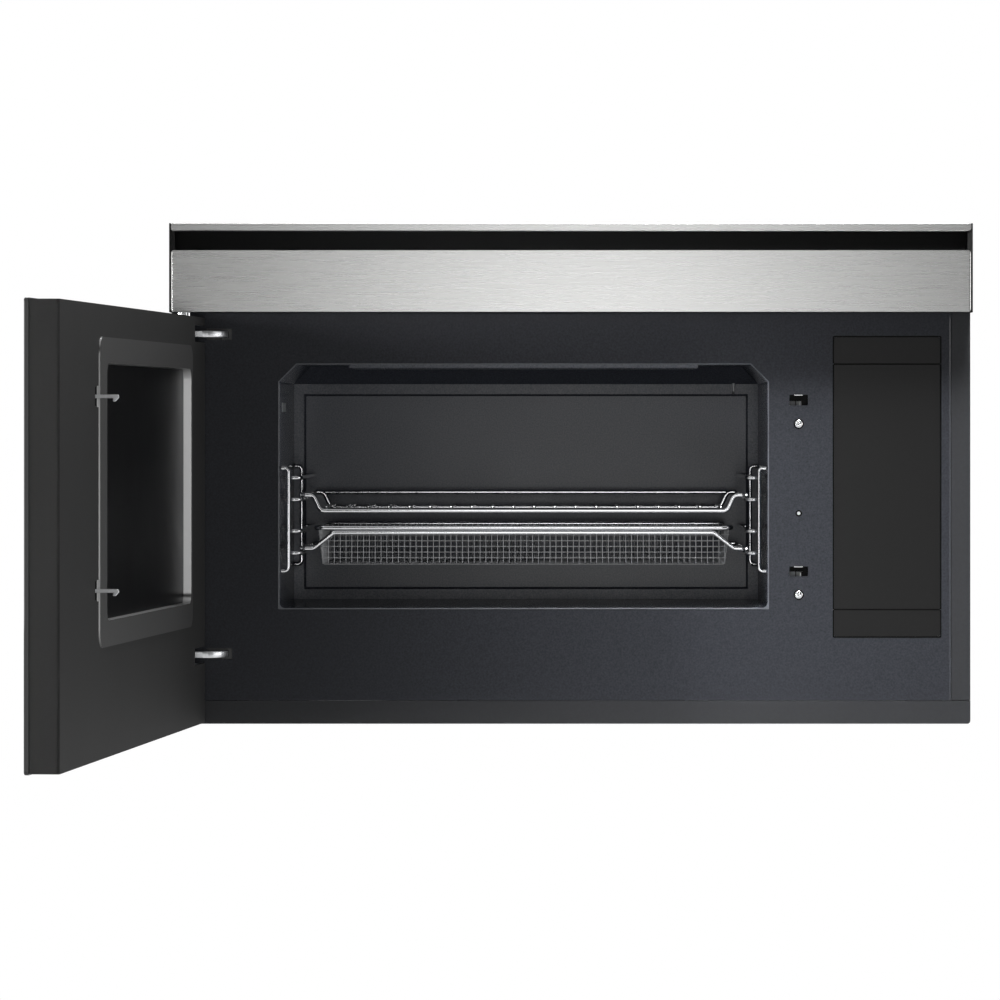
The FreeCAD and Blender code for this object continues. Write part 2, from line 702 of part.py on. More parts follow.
def latch_body():
    # A moulded block with a chamber behind each slot; a ramp and a post stand in each chamber.
    x0, x1 = slot_x - 16.0, slot_x + 17.0
    y1 = panel_back + 32
    body = box(x0, x1, panel_back, y1, latch_screw_z[0] - 10, slot_z[1] + 20)
    parts = []
    for z in slot_z:
        chamber = box(slot_x - 10, slot_x + 11, panel_back - 1, y1 - 6, z - 10, z + 9)
        body = body.cut(chamber)
        ramp = [(panel_back + 2, z - 10), (panel_back + 14, z - 10), (panel_back + 14, z - 1)]
        parts.append(prism([Vector(slot_x - 10, y, h) for y, h in ramp], Vector(3.2, 0, 0)))
        parts.append(box(slot_x + 1.2, slot_x + 4.2, panel_back + 6, y1 - 6, z - 10, z - 0.5))
    pin = rod(slot_x, panel_y + 0.3, locating_pin_z, Y_AXIS, 1.55, 3)
    body = join([body, pin] + parts)
    return body.cut([drum(slot_x, panel_back - 2, z, Y_AXIS, 1.6, 14, 8) for z in latch_screw_z])


def latch_screws():
    screws = []
    for z in latch_screw_z:
        head = rod(slot_x, panel_y - 1.6, z, Y_AXIS, 3.55, 1.6)
        screws.append(join([head, drum(slot_x, panel_y, z, Y_AXIS, 1.6, 11, 8)]))
    return Part.makeCompound(screws)


def latch_switches():
    y = panel_back + 32
    switches = []
    for z in (slot_z[0], slot_z[1] - 12, slot_z[1] + 8):
        case = box(slot_x - 8, slot_x + 8, y, y + 12, z - 8, z + 8)
        switches.append(join([case, box(slot_x - 6, slot_x - 4, y + 12, y + 19, z - 3, z + 3),
                              box(slot_x + 4, slot_x + 6, y + 12, y + 19, z - 3, z + 3)]))
    return Part.makeCompound(switches)


# Hinge


def hinge_arm(z):
    # A goose-neck plate: an eye for the pin, one smooth bend and a foot behind the panel.
    x = pivot_x + ARM_REACH
    w = ARM_WIDTH / 2
    bend_x, bend_y = x - ARM_BEND_R, pivot_y + ARM_BEND_R
    outer, inner = ARM_BEND_R + w, ARM_BEND_R - w
    tail = panel_back + 26
    c = math.sqrt(0.5)
    lines = [Part.makeLine(Vector(pivot_x, pivot_y - w, 0), Vector(bend_x, pivot_y - w, 0))]
    lines.append(Part.Arc(Vector(bend_x, pivot_y - w, 0), Vector(bend_x + outer * c, bend_y - outer * c, 0),
                          Vector(x + w, bend_y, 0)).toShape())
    lines.append(Part.makeLine(Vector(x + w, bend_y, 0), Vector(x + w, tail, 0)))
    lines.append(Part.makeLine(Vector(x + w, tail, 0), Vector(x - w, tail, 0)))
    lines.append(Part.makeLine(Vector(x - w, tail, 0), Vector(x - w, bend_y, 0)))
    lines.append(Part.Arc(Vector(x - w, bend_y, 0), Vector(bend_x + inner * c, bend_y - inner * c, 0),
                          Vector(bend_x, pivot_y + w, 0)).toShape())
    lines.append(Part.makeLine(Vector(bend_x, pivot_y + w, 0), Vector(pivot_x, pivot_y + w, 0)))
    lines.append(Part.makeLine(Vector(pivot_x, pivot_y + w, 0), Vector(pivot_x, pivot_y - w, 0)))
    plate = Part.Face(Part.Wire(lines)).extrude(Vector(0, 0, ARM_THICK))
    plate.translate(Vector(0, 0, z - ARM_THICK / 2))
    eye = rod(pivot_x, pivot_y, z - ARM_THICK / 2, Z_AXIS, EYE_R, ARM_THICK)
    foot = box(x - 24, x + 18, panel_back, panel_back + 3, z - 22, z + 12)
    beside = hinge_slot(z).translate(Vector(0, 1, 0)).cut(box(x - w, x + w, panel_y, 0, z - 3, z + 3))
    foot = foot.cut(beside)
    arm = join([plate, eye, foot, box(x - 1.5, x + 1.5, panel_back, tail, z - 22, z)])
    return arm.cut(rod(pivot_x, pivot_y, z - 10, Z_AXIS, PIN_R + RUNNING_FIT, 20))


def pivot_plate():
    # A small plate under the trim whose stub pin steadies the door's upper end.
    z0, z1 = trim_bottom - 3.4, trim_bottom - 0.2
    plate = box(pivot_x - 7, pivot_x + 5, pivot_y - 7, panel_y, z0, z1)
    plate = round_edges(plate, Z_AXIS, 4.0, lambda p: p.y < pivot_y)
    return join([plate, rod(pivot_x, pivot_y, door_top - 3.2, Z_AXIS, PIN_R, z0 - door_top + 4.2)])


# Equipment inside the case


def bay_shelf():
    x0, x1 = guide_left - 1, half - SHEET
    shelf = box(x0, x1, panel_back + 4, -SHEET, SHELF_Z - SHEET, SHELF_Z)
    return join([shelf, box(x1 - SHEET, x1, panel_back + 4, -SHEET, SHELF_Z, SHELF_Z + 14)])


def waveguide():
    # A square metal pipe that leads from the magnetron down and under the antenna well.
    y0, y1 = cav_y - GUIDE_WIDTH / 2, cav_y + GUIDE_WIDTH / 2
    x0 = cav_x - 40
    x1 = guide_left + GUIDE_HEIGHT
    z0, z1 = guide_bottom, guide_bottom + GUIDE_HEIGHT
    outer = join([box(x0, x1, y0, y1, z0, z1), box(guide_left, x1, y0, y1, z0, z0 + 190)])
    inner = join([box(x0 + 1, x1 - 1, y0 + 1, y1 - 1, z0 + 1, z1 - 1),
                  box(guide_left + 1, x1 - 1, y0 + 1, y1 - 1, z0 + 1, z0 + 189)])
    holes = [drum(cav_x, cav_y, z0 - 5, Z_AXIS, 12, GUIDE_HEIGHT + 10)]
    holes.append(drum(x1 - 5, cav_y, z0 + 150, X_AXIS, 14, 10))
    return outer.cut(inner).cut(holes)


def magnetron():
    # A finned anode between two magnet plates, with its antenna reaching into the waveguide.
    x0 = guide_left + GUIDE_HEIGHT
    z = guide_bottom + 150
    parts = [box(x0, x0 + 3, cav_y - 45, cav_y + 45, z - 38, z + 38)]
    parts.append(box(x0 + 57, x0 + 60, cav_y - 45, cav_y + 45, z - 38, z + 38))
    parts.append(box(x0, x0 + 60, cav_y - 45, cav_y + 45, z - 38, z - 35))
    parts.append(box(x0, x0 + 60, cav_y - 45, cav_y + 45, z + 35, z + 38))
    parts.append(drum(x0 - 20, cav_y, z, X_AXIS, 9, 24, 12))
    parts.append(drum(x0, cav_y, z, X_AXIS, 20, 60, 12))
    for number in range(4):
        x = x0 + 13 + number * 10
        parts.append(box(x, x + 0.8, cav_y - 44, cav_y + 44, z - 36, z + 36))
    parts.append(box(x0 + 60, x0 + 82, cav_y - 25, cav_y + 25, z - 30, z + 30))
    return join(parts)


def transformer():
    x0, y0, z0 = half - 144.5, -120.0, SHELF_Z
    core = box(x0, x0 + 90, y0, y0 + 60, z0, z0 + 64)
    coil = box(x0 + 14, x0 + 76, y0 - 18, y0 + 78, z0 + 10, z0 + 54)
    coil = round_edges(coil, X_AXIS, 8)
    return join([core, coil])


def capacitor():
    x, y = half - 31.5, -225.0
    top = SHELF_Z + 80
    body = drum(x, y, SHELF_Z, Z_AXIS, 22, 80, 12)
    tags = [box(x - 8, x - 6, y - 10, y - 4, top, top + 8), box(x + 6, x + 8, y + 4, y + 10, top, top + 8)]
    return join([body] + tags)


def cooling_frame():
    # A square shroud on the rear panel with the fan's motor on three legs.
    x0, x1, z0, z1 = fan_x - FAN_HALF, fan_x + FAN_HALF, fan_z - FAN_HALF, fan_z + FAN_HALF
    y0, y1 = -60.0, -SHEET
    shroud = box(x0, x1, y0, y1, z0, z1).cut(box(x0 + 2, x1 - 2, y0 + 2, y1 - 2, z0 + 2, z1 - 2))
    shroud = shroud.cut(drum(fan_x, y0 - 1, fan_z, Y_AXIS, FAN_HALF - 7, 5, 24))
    motor = drum(fan_x, -27, fan_z, Y_AXIS, 20, 27 - SHEET - 1)
    bore = rod(fan_x, -27, fan_z, Y_AXIS, 2.5 + RUNNING_FIT, 16)
    return join([shroud, motor]).cut(bore)


def cooling_blade():
    hub = drum(fan_x, -56, fan_z, Y_AXIS, 16, 24)
    parts = [hub, rod(fan_x, -33, fan_z, Y_AXIS, 2.5, 20)]
    for number in range(5):
        blade = box(fan_x + 10, fan_x + FAN_HALF - 12, -45, -43.5, fan_z - 15, fan_z + 15)
        blade = blade.rotate(Vector(fan_x, -44, fan_z), X_AXIS, 30)
        parts.append(blade.rotate(Vector(fan_x, 0, fan_z), Y_AXIS, number * 72))
    return join(parts)


def convection_housing():
    z0 = cav_top + CAVITY_SHEET
    z1 = z0 + CONVECTION_HEIGHT
    h = CONVECTION_HALF
    y = convection_y
    pan = box(cav_x - h, cav_x + h, y - h, y + h, z0, z1)
    pan = pan.cut(box(cav_x - h + 1, cav_x + h - 1, y - h + 1, y + h - 1, z0 - 1, z1 - 1))
    return pan.cut(drum(cav_x, y, z1 - 5, Z_AXIS, 6, 10))


def convection_heater():
    # A tube element bent round the fan, with both ends against the housing wall.
    z = cav_top + CAVITY_SHEET + 10
    wall = cav_x + CONVECTION_HALF - 1.8
    course = [Vector(wall, convection_y + 14, z)]
    for number in range(15):
        angle = math.radians(12 + number * 24)
        course.append(Vector(cav_x + 86 * math.cos(angle), convection_y + 86 * math.sin(angle), z))
    course.append(Vector(wall, convection_y - 14, z))
    return wire(course, 3.5)


def convection_fan():
    z0 = cav_top + CAVITY_SHEET + 8
    z1 = cav_top + CAVITY_SHEET + CONVECTION_HEIGHT
    parts = [drum(cav_x, convection_y, z0 + 15, Z_AXIS, 70, 1.2, 24)]
    parts.append(rod(cav_x, convection_y, z0 + 6, Z_AXIS, 4, z1 - z0 + 8))
    for number in range(6):
        blade = box(cav_x + 30, cav_x + 68, convection_y - 0.6, convection_y + 0.6, z0, z0 + 15)
        parts.append(blade.rotate(Vector(cav_x, convection_y, 0), Z_AXIS, number * 60))
    return join(parts)


def convection_motor():
    z = cav_top + CAVITY_SHEET + CONVECTION_HEIGHT
    body = drum(cav_x, convection_y, z, Z_AXIS, 32, 34)
    ears = box(cav_x - 45, cav_x + 45, convection_y - 8, convection_y + 8, z, z + 2)
    return join([body, ears]).cut(rod(cav_x, convection_y, z - 1, Z_AXIS, 4 + RUNNING_FIT, 16))


def scroll(x0, x1):
    # One blower casing: a round drum with a duct towards the front, open at both cheeks.
    w = 1.5
    y0 = BLOWER_Y - BLOWER_R - 30
    case = join([drum(x0, BLOWER_Y, blower_z, X_AXIS, BLOWER_R, x1 - x0, 12),
                 box(x0, x1, y0, BLOWER_Y, blower_z + 4, blower_z + BLOWER_R)])
    space = join([drum(x0 + w, BLOWER_Y, blower_z, X_AXIS, BLOWER_R - w, x1 - x0 - 2 * w, 12),
                  box(x0 + w, x1 - w, y0 - 1, BLOWER_Y, blower_z + 4 + w, blower_z + BLOWER_R - w)])
    inlet = drum(x0 - 1, BLOWER_Y, blower_z, X_AXIS, 36, x1 - x0 + 2, 12)
    return case.cut([space, inlet])


def blower_housing():
    cheeks = [scroll(-160, -60), scroll(60, 160)]
    base = box(-165, 165, BLOWER_Y - 40, -SHEET, blower_z - BLOWER_R - 3, blower_z - BLOWER_R - 1)
    z = blower_z - BLOWER_R
    legs = [box(x, x + 100, BLOWER_Y - 6, BLOWER_Y + 6, z - 2, z + 2) for x in (-160, 60)]
    seat = box(-35, 35, BLOWER_Y - 22, BLOWER_Y + 22, z - 2, blower_z - 34)
    return join(cheeks + [base, seat] + legs)


def blower_motor():
    body = drum(-40, BLOWER_Y, blower_z, X_AXIS, 34, 80)
    return body.cut([rod(-41, BLOWER_Y, blower_z, X_AXIS, 4 + RUNNING_FIT, 82)])


def blower_wheels():
    parts = [rod(-150, BLOWER_Y, blower_z, X_AXIS, 4, 300)]
    for x in (-110, 110):
        parts.append(drum(x - 1, BLOWER_Y, blower_z, X_AXIS, 46, 2, 12))
        for number in range(6):
            vane = box(x - 37, x + 37, BLOWER_Y + 36, BLOWER_Y + 44, blower_z - 0.8, blower_z + 0.8)
            parts.append(vane.rotate(Vector(x, BLOWER_Y, blower_z), X_AXIS, number * 60))
    return join(parts)


def antenna():
    z = well_bottom + 10
    disc = drum(cav_x, cav_y, z, Z_AXIS, 80, 1.5, 24)
    slots = []
    for number in range(3):
        slot = box(cav_x + 30, cav_x + 68, cav_y - 7, cav_y + 7, z - 1, z + 3)
        slots.append(slot.rotate(Vector(cav_x, cav_y, 0), Z_AXIS, number * 120))
    stem = rod(cav_x, cav_y, guide_bottom - 10, Z_AXIS, 5, z - guide_bottom + 11)
    return join([disc.cut(slots), stem])


def antenna_motor():
    body = drum(cav_x, cav_y, guide_bottom - 18, Z_AXIS, 25, 18)
    return body.cut(rod(cav_x, cav_y, guide_bottom - 10.2, Z_AXIS, 5 + RUNNING_FIT, 20))


def grease_filter(x):
    # A flat aluminium frame with a slotted mesh pad and a small pull tab.
    w, l = FILTER_WIDTH / 2, FILTER_LENGTH / 2
    z0 = 0.2
    slab = box(x - w, x + w, FILTER_Y - l, FILTER_Y + l, z0, z0 + FILTER_THICK)
    slots = []
    for number in range(10):
        y = FILTER_Y - 99 + number * 22
        slots.append(box(x - w + 10, x + w - 10, y - 7, y + 7, z0 - 1, z0 + FILTER_THICK + 1))
    return slab.cut(slots)


# Door, drawn closed


def door_glass():
    # The black outer pane covers the whole door front.
    pane = rounded_slab(door_left, door_right, front, front + GLASS, DOOR_BOTTOM, door_top, CORNER_R)
    return pane.makeChamfer(0.6, [e for e in pane.Edges if abs(e.CenterOfMass.y - front) < 0.01])


def hinge_pocket(z):
    tall = HINGE_POCKET / 2
    return box(door_left - 1, pivot_x + 52, front + GLASS - 1, door_inner + 1, z - tall, z + tall)


def door_frame():
    # A deep moulded pan behind the glass, with a finger pocket in its lower edge.
    x0, x1 = door_left + 1, door_right - 1
    z0, z1 = DOOR_BOTTOM + 1, door_top - 1
    y0, y1 = front + GLASS, door_inner
    w = DOOR_WALL
    pan = box(x0, x1, y0, y1, z0, z1)
    pan = round_edges(pan, Z_AXIS, HINGE_EDGE_R, lambda p: p.y > y1 - 1 and p.x < 0)
    pan = round_edges(pan, Z_AXIS, 2.5, lambda p: p.y > y1 - 1 and p.x > half / 2)
    pan = pan.cut(box(x0 + w, x1 - w, y0 - 1, y1 - DOOR_SKIN, z0 + w, z1 - w))
    grip_x = hook_x - 60
    half_grip = GRIP_WIDTH / 2
    grip = box(grip_x - half_grip, grip_x + half_grip, y0, y1 - 4, z0, z0 + GRIP_HEIGHT)
    guides = []
    for z in (slot_z[0] + 40, slot_z[1] - 40):
        for x in (hook_x - HOOK_THICK / 2 - 2.4, hook_x + HOOK_THICK / 2 + 0.4):
            guides.append(box(x, x + 2, y1 - 16, y1 - DOOR_SKIN + 0.5, z - 8, z + 8))
    lug = box(hook_x - 5, hook_x + 5, y1 - 16, y1 - DOOR_SKIN + 0.5, slot_z[0] - 54, slot_z[0] - 50)
    pan = join([pan, grip, lug] + guides)
    inside = half_grip - 2
    cuts = [box(grip_x - inside, grip_x + inside, y0 + 2, y1 - 6, z0 - 1, z0 + GRIP_HEIGHT - 2)]
    left, right, low, high = door_hole
    cuts.append(rounded_slab(left - 3, right + 3, y1 - 8, y1 + 1, low - 3, high + 3, 13))
    for z in slot_z:
        cuts.append(box(hook_x - 2.6, hook_x + 2.6, y1 - 8, y1 + 1, z - 8, z + 8))
    for z in hinge_z:
        cuts.append(hinge_pocket(z))
    cuts.append(rod(pivot_x, pivot_y, z1 - 5, Z_AXIS, PIN_R + RUNNING_FIT, 10))
    return pan.cut(cuts)


def choke_cover():
    # A flat moulded frame over the microwave seal, with a collar that steps down to the window.
    x0, x1, z0, z1 = choke_edge
    left, right, low, high = door_hole
    y = door_inner
    frame = rounded_slab(x0, x1, y, y + 1, z0, z1, 14)
    collar = rounded_slab(left - 2.7, right + 2.7, y - 6, y + 1, low - 2.7, high + 2.7, 12.7)
    hole = rounded_slab(left, right, y - 8, y + 3, low, high, 10)
    return join([frame, collar]).cut(hole)


def window_pane():
    left, right, low, high = door_hole
    return rounded_slab(left - 6, right + 6, door_inner - 9, door_inner - 6, low - 6, high + 6, 14)


def window_screen():
    left, right, low, high = door_hole
    return rounded_slab(left - 6, right + 6, door_inner - 10, door_inner - 9, low - 6, high + 6, 14)


def touch_board():
    y = front + GLASS
    left, right = hook_x + 28, door_right - 28
    board = box(left, right, y, y + 1.6, DOOR_BOTTOM + 59, door_top - 56.5)
    return join([board, box(left + 20, right - 20, y + 1.6, y + 8, door_top - 116.5, door_top - 81.5)])


def hinge_blocks():
    # Solid clevis blocks that carry the hinge pins above and below each arm.
    blocks = []
    x0 = door_left + 1 + DOOR_WALL
    y0, y1 = front + GLASS + 0.2, door_inner - DOOR_SKIN
    tall = HINGE_BLOCK / 2
    for z in hinge_z:
        block = box(x0, pivot_x + 64, y0, y1, z - tall, z + tall).cut(hinge_pocket(z))
        blocks.append(block.cut(drum(pivot_x, pivot_y, z - 20, Z_AXIS, PIN_R + 0.2, 40, 12)))
    return Part.makeCompound(blocks)


def hinge_pins():
    tall = HINGE_BLOCK / 2
    pins = [rod(pivot_x, pivot_y, z - tall, Z_AXIS, PIN_R, HINGE_BLOCK) for z in hinge_z]
    return Part.makeCompound(pins)


def latch_bar():
    # An upright bar inside the door with two hooks that stand out through its inner face.
    x0 = hook_x - HOOK_THICK / 2
    bar = box(x0, x0 + HOOK_THICK, door_inner - 14, door_inner - 5, slot_z[0] - 17, slot_z[1] + 17)
    tip = door_inner + HOOK_OUT
    hooks = [bar]
    for z in slot_z:
        shape = [(door_inner - 6, z - 4), (door_inner - 1, z - 1.5), (tip - 5, z - 1.5),
                 (tip - 5.5, z - HOOK_NOSE), (tip - 3, z - HOOK_NOSE), (tip, z - 0.8),
                 (tip - 0.8, z + 1.5), (door_inner - 1, z + 1.5), (door_inner - 6, z + 4)]
        hooks.append(prism([Vector(x0, y, h) for y, h in shape], Vector(HOOK_THICK, 0, 0)))
    return join(hooks)


def latch_spring():
    coil = drum(hook_x, door_inner - 9.5, slot_z[0] - 50, Z_AXIS, 3.0, 33)
    return coil.cut(drum(hook_x, door_inner - 9.5, slot_z[0] - 51, Z_AXIS, 2.0, 35))


# Assembly

chassis_pieces = {
    "outer_case": outer_case(),
    "rear_panel": rear_panel(),
    "base_pan": base_pan(),
    "base_lamp_lens": base_lamp_lens(),
    "front_panel": front_panel(),
    "cover_middle": cover_middle(),
    "cover_caps": cover_caps(),
    "control_board": control_board(),
    "cavity_wrap": cavity_wrap(),
    "cavity_back": cavity_back_wall(),
    "cavity_floor": cavity_floor_pan(),
    "floor_plate": floor_plate(),
    "ceiling_cover": ceiling_cover(),
    "cavity_probe": cavity_probe(),
    "lamp_lens": lamp_lens(),
    "ladder_left": side_ladder(True),
    "ladder_right": side_ladder(False),
    "trim_carrier": trim_carrier(),
    "trim_top_strip": trim_top_strip(),
    "trim_fascia": trim_fascia(),
    "charcoal_filter": charcoal_filter(),
    "cord_gland": cord_gland(),
    "latch_body": latch_body(),
    "latch_screws": latch_screws(),
    "latch_switches": latch_switches(),
    "hinge_arm_lower": hinge_arm(hinge_z[0]),
    "hinge_arm_upper": hinge_arm(hinge_z[1]),
    "pivot_plate": pivot_plate(),
    "bay_shelf": bay_shelf(),
    "waveguide": waveguide(),
    "magnetron": magnetron(),
    "transformer": transformer(),
    "capacitor": capacitor(),
    "cooling_frame": cooling_frame(),
    "convection_housing": convection_housing(),
    "convection_heater": convection_heater(),
    "convection_motor": convection_motor(),
    "blower_housing": blower_housing(),
    "blower_motor": blower_motor(),
    "antenna_motor": antenna_motor(),
}

moving_pieces = {
    "upper_rack": upper_rack(),
    "lower_rack": lower_rack(),
    "fry_basket": fry_basket(),
    "cooling_blade": cooling_blade(),
    "convection_fan": convection_fan(),
    "blower_wheels": blower_wheels(),
    "antenna": antenna(),
    "grease_filter_left": grease_filter(-FILTER_X),
    "grease_filter_right": grease_filter(FILTER_X),
}

door_pieces = {
    "door_glass": door_glass(),
    "door_frame": door_frame(),
    "choke_cover": choke_cover(),
    "window_pane": window_pane(),
    "window_screen": window_screen(),
    "touch_board": touch_board(),
    "hinge_blocks": hinge_blocks(),
    "hinge_pins": hinge_pins(),
    "latch_bar": latch_bar(),
    "latch_spring": latch_spring(),
}

# The door stands open as it is shown, turned about the hinge pins.
for piece in door_pieces.values():
    piece.rotate(Vector(pivot_x, pivot_y, 0), Z_AXIS, -DOOR_OPEN_DEG)

os.makedirs("parts", exist_ok=True)
for pieces in (chassis_pieces, moving_pieces, door_pieces):
    for name, shape in pieces.items():
        shape.exportStep("parts/" + name + ".step")
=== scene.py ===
import bmesh
import bpy
import math
from mathutils import Matrix, Vector


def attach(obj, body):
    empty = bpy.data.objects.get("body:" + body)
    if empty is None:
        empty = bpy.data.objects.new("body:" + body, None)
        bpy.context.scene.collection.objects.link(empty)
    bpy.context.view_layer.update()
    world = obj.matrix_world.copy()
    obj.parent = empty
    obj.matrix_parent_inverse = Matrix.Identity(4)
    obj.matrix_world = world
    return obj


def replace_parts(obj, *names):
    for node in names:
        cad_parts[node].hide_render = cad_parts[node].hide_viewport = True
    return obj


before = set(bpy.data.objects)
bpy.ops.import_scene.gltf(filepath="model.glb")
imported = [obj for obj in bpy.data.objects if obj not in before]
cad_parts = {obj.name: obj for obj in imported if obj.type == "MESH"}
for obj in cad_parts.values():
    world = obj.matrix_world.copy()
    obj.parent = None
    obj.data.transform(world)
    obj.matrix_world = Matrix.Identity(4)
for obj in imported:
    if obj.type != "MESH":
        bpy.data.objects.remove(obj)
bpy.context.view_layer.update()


# Outer case and base pan. The case is one bent steel sheet that makes the top, both sides and
# the narrow front flanges; the pan is a shallow pressed tray that closes it from below.
# Both are powder coated dark grey, which leaves a fine orange-peel skin with a soft sheen.


def linear(code):
    """An sRGB hex colour as linear RGBA."""
    channels = [int(code[i:i + 2], 16) / 255 for i in (1, 3, 5)]
    return [c / 12.92 if c < 0.04045 else ((c + 0.055) / 1.055) ** 2.4 for c in channels] + [1]


def add(material, kind, inputs, **settings):
    """Adds a node with its settings. An input given as a node or socket is linked, any other is set."""
    node = material.node_tree.nodes.new(kind)
    for name, value in settings.items():
        setattr(node, name, value)
    for name, value in inputs.items():
        if isinstance(value, bpy.types.Node):
            value = value.outputs[0]
        if isinstance(value, bpy.types.NodeSocket):
            material.node_tree.links.new(value, node.inputs[name])
        else:
            node.inputs[name].default_value = value
    return node


def new_material(name):
    """An empty material and the place of a point on the piece, in metres."""
    material = bpy.data.materials.new(name)
    material.use_nodes = True
    material.node_tree.nodes.clear()
    return material, add(material, "ShaderNodeTexCoord", {}).outputs["Object"]


def mottled(name, patch_mm, tones, sheen, surface, detail=2, bump=0.0):
    """A finish whose tone, roughness and fine relief follow one noise with patches of a size in mm."""
    material, place = new_material(name)
    noise = add(material, "ShaderNodeTexNoise", {
        "Vector": place, "Scale": 1000 / patch_mm, "Detail": detail})
    dark, light = [linear(tone) for tone in tones]
    tone = add(material, "ShaderNodeMixRGB", {"Fac": noise, "Color1": dark, "Color2": light})
    if isinstance(sheen, tuple):
        sheen = add(material, "ShaderNodeMapRange", {"Value": noise, "To Min": sheen[0], "To Max": sheen[1]})
    inputs = {"Base Color": tone, "Roughness": sheen, **surface}
    if bump:
        inputs["Normal"] = add(material, "ShaderNodeBump", {
            "Height": noise, "Strength": bump, "Distance": 0.0002})
    skin = add(material, "ShaderNodeBsdfPrincipled", inputs)
    add(material, "ShaderNodeOutputMaterial", {"Surface": skin})
    return material


def dress(material, *names):
    """Gives CAD nodes their finish."""
    for name in names:
        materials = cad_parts[name].data.materials
        materials.clear()
        materials.append(material)


def soften(width, *names):
    """Breaks the sharp edges of CAD nodes by a small radius in metres."""
    for name in names:
        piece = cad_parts[name]
        weld = piece.modifiers.new("weld", "WELD")
        weld.merge_threshold = 1e-5
        bevel = piece.modifiers.new("broken_edge", "BEVEL")
        bevel.width = width
        bevel.segments = 2
        bevel.angle_limit = math.radians(40)
        bevel.harden_normals = True


# The peel is about 1 mm across and is drawn at 2.5 mm so that it shows.
powder_coat = mottled("dark_grey_powder_coat", 2.5, ("#2b2c2e", "#36373a"), (0.42, 0.6),
                      {"IOR": 1.5, "Specular IOR Level": 0.25}, bump=0.3)
dress(powder_coat, "outer_case", "base_pan")
soften(0.0005, "outer_case", "base_pan")


# Rear panel and the plain sheet pieces inside the case. They are cut from hot-dip galvanised steel and
# left bare, so zinc crystals a centimetre across show as patches of lighter and darker grey.

galvanised, place = new_material("galvanised_steel_sheet")
crystal = add(galvanised, "ShaderNodeTexVoronoi", {"Vector": place, "Scale": 1000 / 11})
patch = add(galvanised, "ShaderNodeMixRGB", {
    "Fac": crystal.outputs["Color"], "Color1": linear("#8b9195"), "Color2": linear("#a9adb0")})
dullness = add(galvanised, "ShaderNodeMapRange", {"Value": crystal, "To Min": 0.34, "To Max": 0.5})
zinc = add(galvanised, "ShaderNodeBsdfPrincipled", {
    "Base Color": patch, "Metallic": 1.0, "Roughness": dullness})
add(galvanised, "ShaderNodeOutputMaterial", {"Surface": zinc})
dress(galvanised, "rear_panel", "bay_shelf", "waveguide", "convection_housing", "hinge_blocks")


# Working pieces inside the case. Boards are lacquered glass epoxy, transformer and motors varnished iron
# and copper, magnetron and capacitor drawn aluminium, small fans and switches moulded black nylon.
# The blower's duct is drawn near-black as painted shade for the dark seen through the vent slot, and
# its filter is a pad of charcoal.

for name, light, dark, metallic, roughness, grain, pieces in (
        ("lacquered_glass_epoxy", "#1f5a34", "#17472a", 0.0, 0.35, 3.0, ("control_board", "touch_board")),
        ("varnished_iron_and_copper", "#8a4a26", "#4a2c1c", 0.6, 0.45, 2.0,
         ("transformer", "convection_motor", "blower_motor", "antenna_motor")),
        ("drawn_aluminium", "#c9ccce", "#b2b5b8", 1.0, 0.32, 4.0,
         ("magnetron", "capacitor", "convection_fan", "antenna")),
        ("black_filled_nylon", "#1c1c1d", "#121213", 0.0, 0.5, 1.5,
         ("cooling_frame", "cooling_blade", "blower_wheels", "latch_switches", "cord_gland")),
        ("scaled_heater_sheath", "#5c5148", "#3a342f", 0.8, 0.55, 2.0, ("convection_heater",)),
        ("charcoal_pad", "#0b0b0c", "#050505", 0.0, 0.95, 3.0, ("charcoal_filter",)),
        # Painted shade: the blower's duct is coloured near-black so that the vent slot reads dark.
        ("black_duct_painted_shade", "#0b0b0c", "#060606", 0.0, 0.85, 3.0, ("blower_housing",))):
    inner = mottled(name, grain, (dark, light), roughness, {"Metallic": metallic}, detail=3, bump=0.3)
    dress(inner, *pieces)


# Cavity. Side walls and ceiling are one bent sheet, the back has a shallow pressed panel, and
# the floor steps down for its plate. All are coated in speckled grey enamel, fired to a satin
# skin. Small round vents below the lamp on the left and in the right wall are not cut but painted
# as near-black dots, painted shade for the dark inside the holes.

VENT_PITCH = 0.0050
VENT_SHARE = 0.27
PRESSED_X = (-0.2680, 0.1777)
PRESSED_Z = (0.1192, 0.3150)
PRESSED_R = 0.0020
# The wall's X, then the middle and half length of a field of vents along Y and along Z.
VENT_FIELDS = ((-0.278, -0.2635, 0.0440, 0.2850, 0.0074), (0.1877, -0.1985, 0.0149, 0.3000, 0.0074))
WALL_DEPTH = 0.002

enamel, place = new_material("speckled_grey_enamel")
# Real specks are near 0.3 mm and are drawn at 1.2 mm so that they show.
speck = add(enamel, "ShaderNodeTexNoise", {"Vector": place, "Scale": 1000 / 1.2, "Detail": 2})
cloud = add(enamel, "ShaderNodeTexNoise", {"Vector": place, "Scale": 1000 / 60, "Detail": 2})
tone = add(enamel, "ShaderNodeMixRGB", {
    "Fac": speck, "Color1": linear("#3a3e46"), "Color2": linear("#737782")})
axis = add(enamel, "ShaderNodeSeparateXYZ", {"Vector": place})
wall = add(enamel, "ShaderNodeCombineXYZ", {"X": axis.outputs["Y"], "Y": axis.outputs["Z"]})
grid = add(enamel, "ShaderNodeTexVoronoi", {
    "Vector": wall, "Scale": 1 / VENT_PITCH, "Randomness": 0.0}, voronoi_dimensions="2D")
# Painted shade: the vent holes are near-black dots on a grid, in the fields listed above.
hole = add(enamel, "ShaderNodeMath", {0: grid, 1: VENT_SHARE}, operation="LESS_THAN")
painted_vent_shade = None
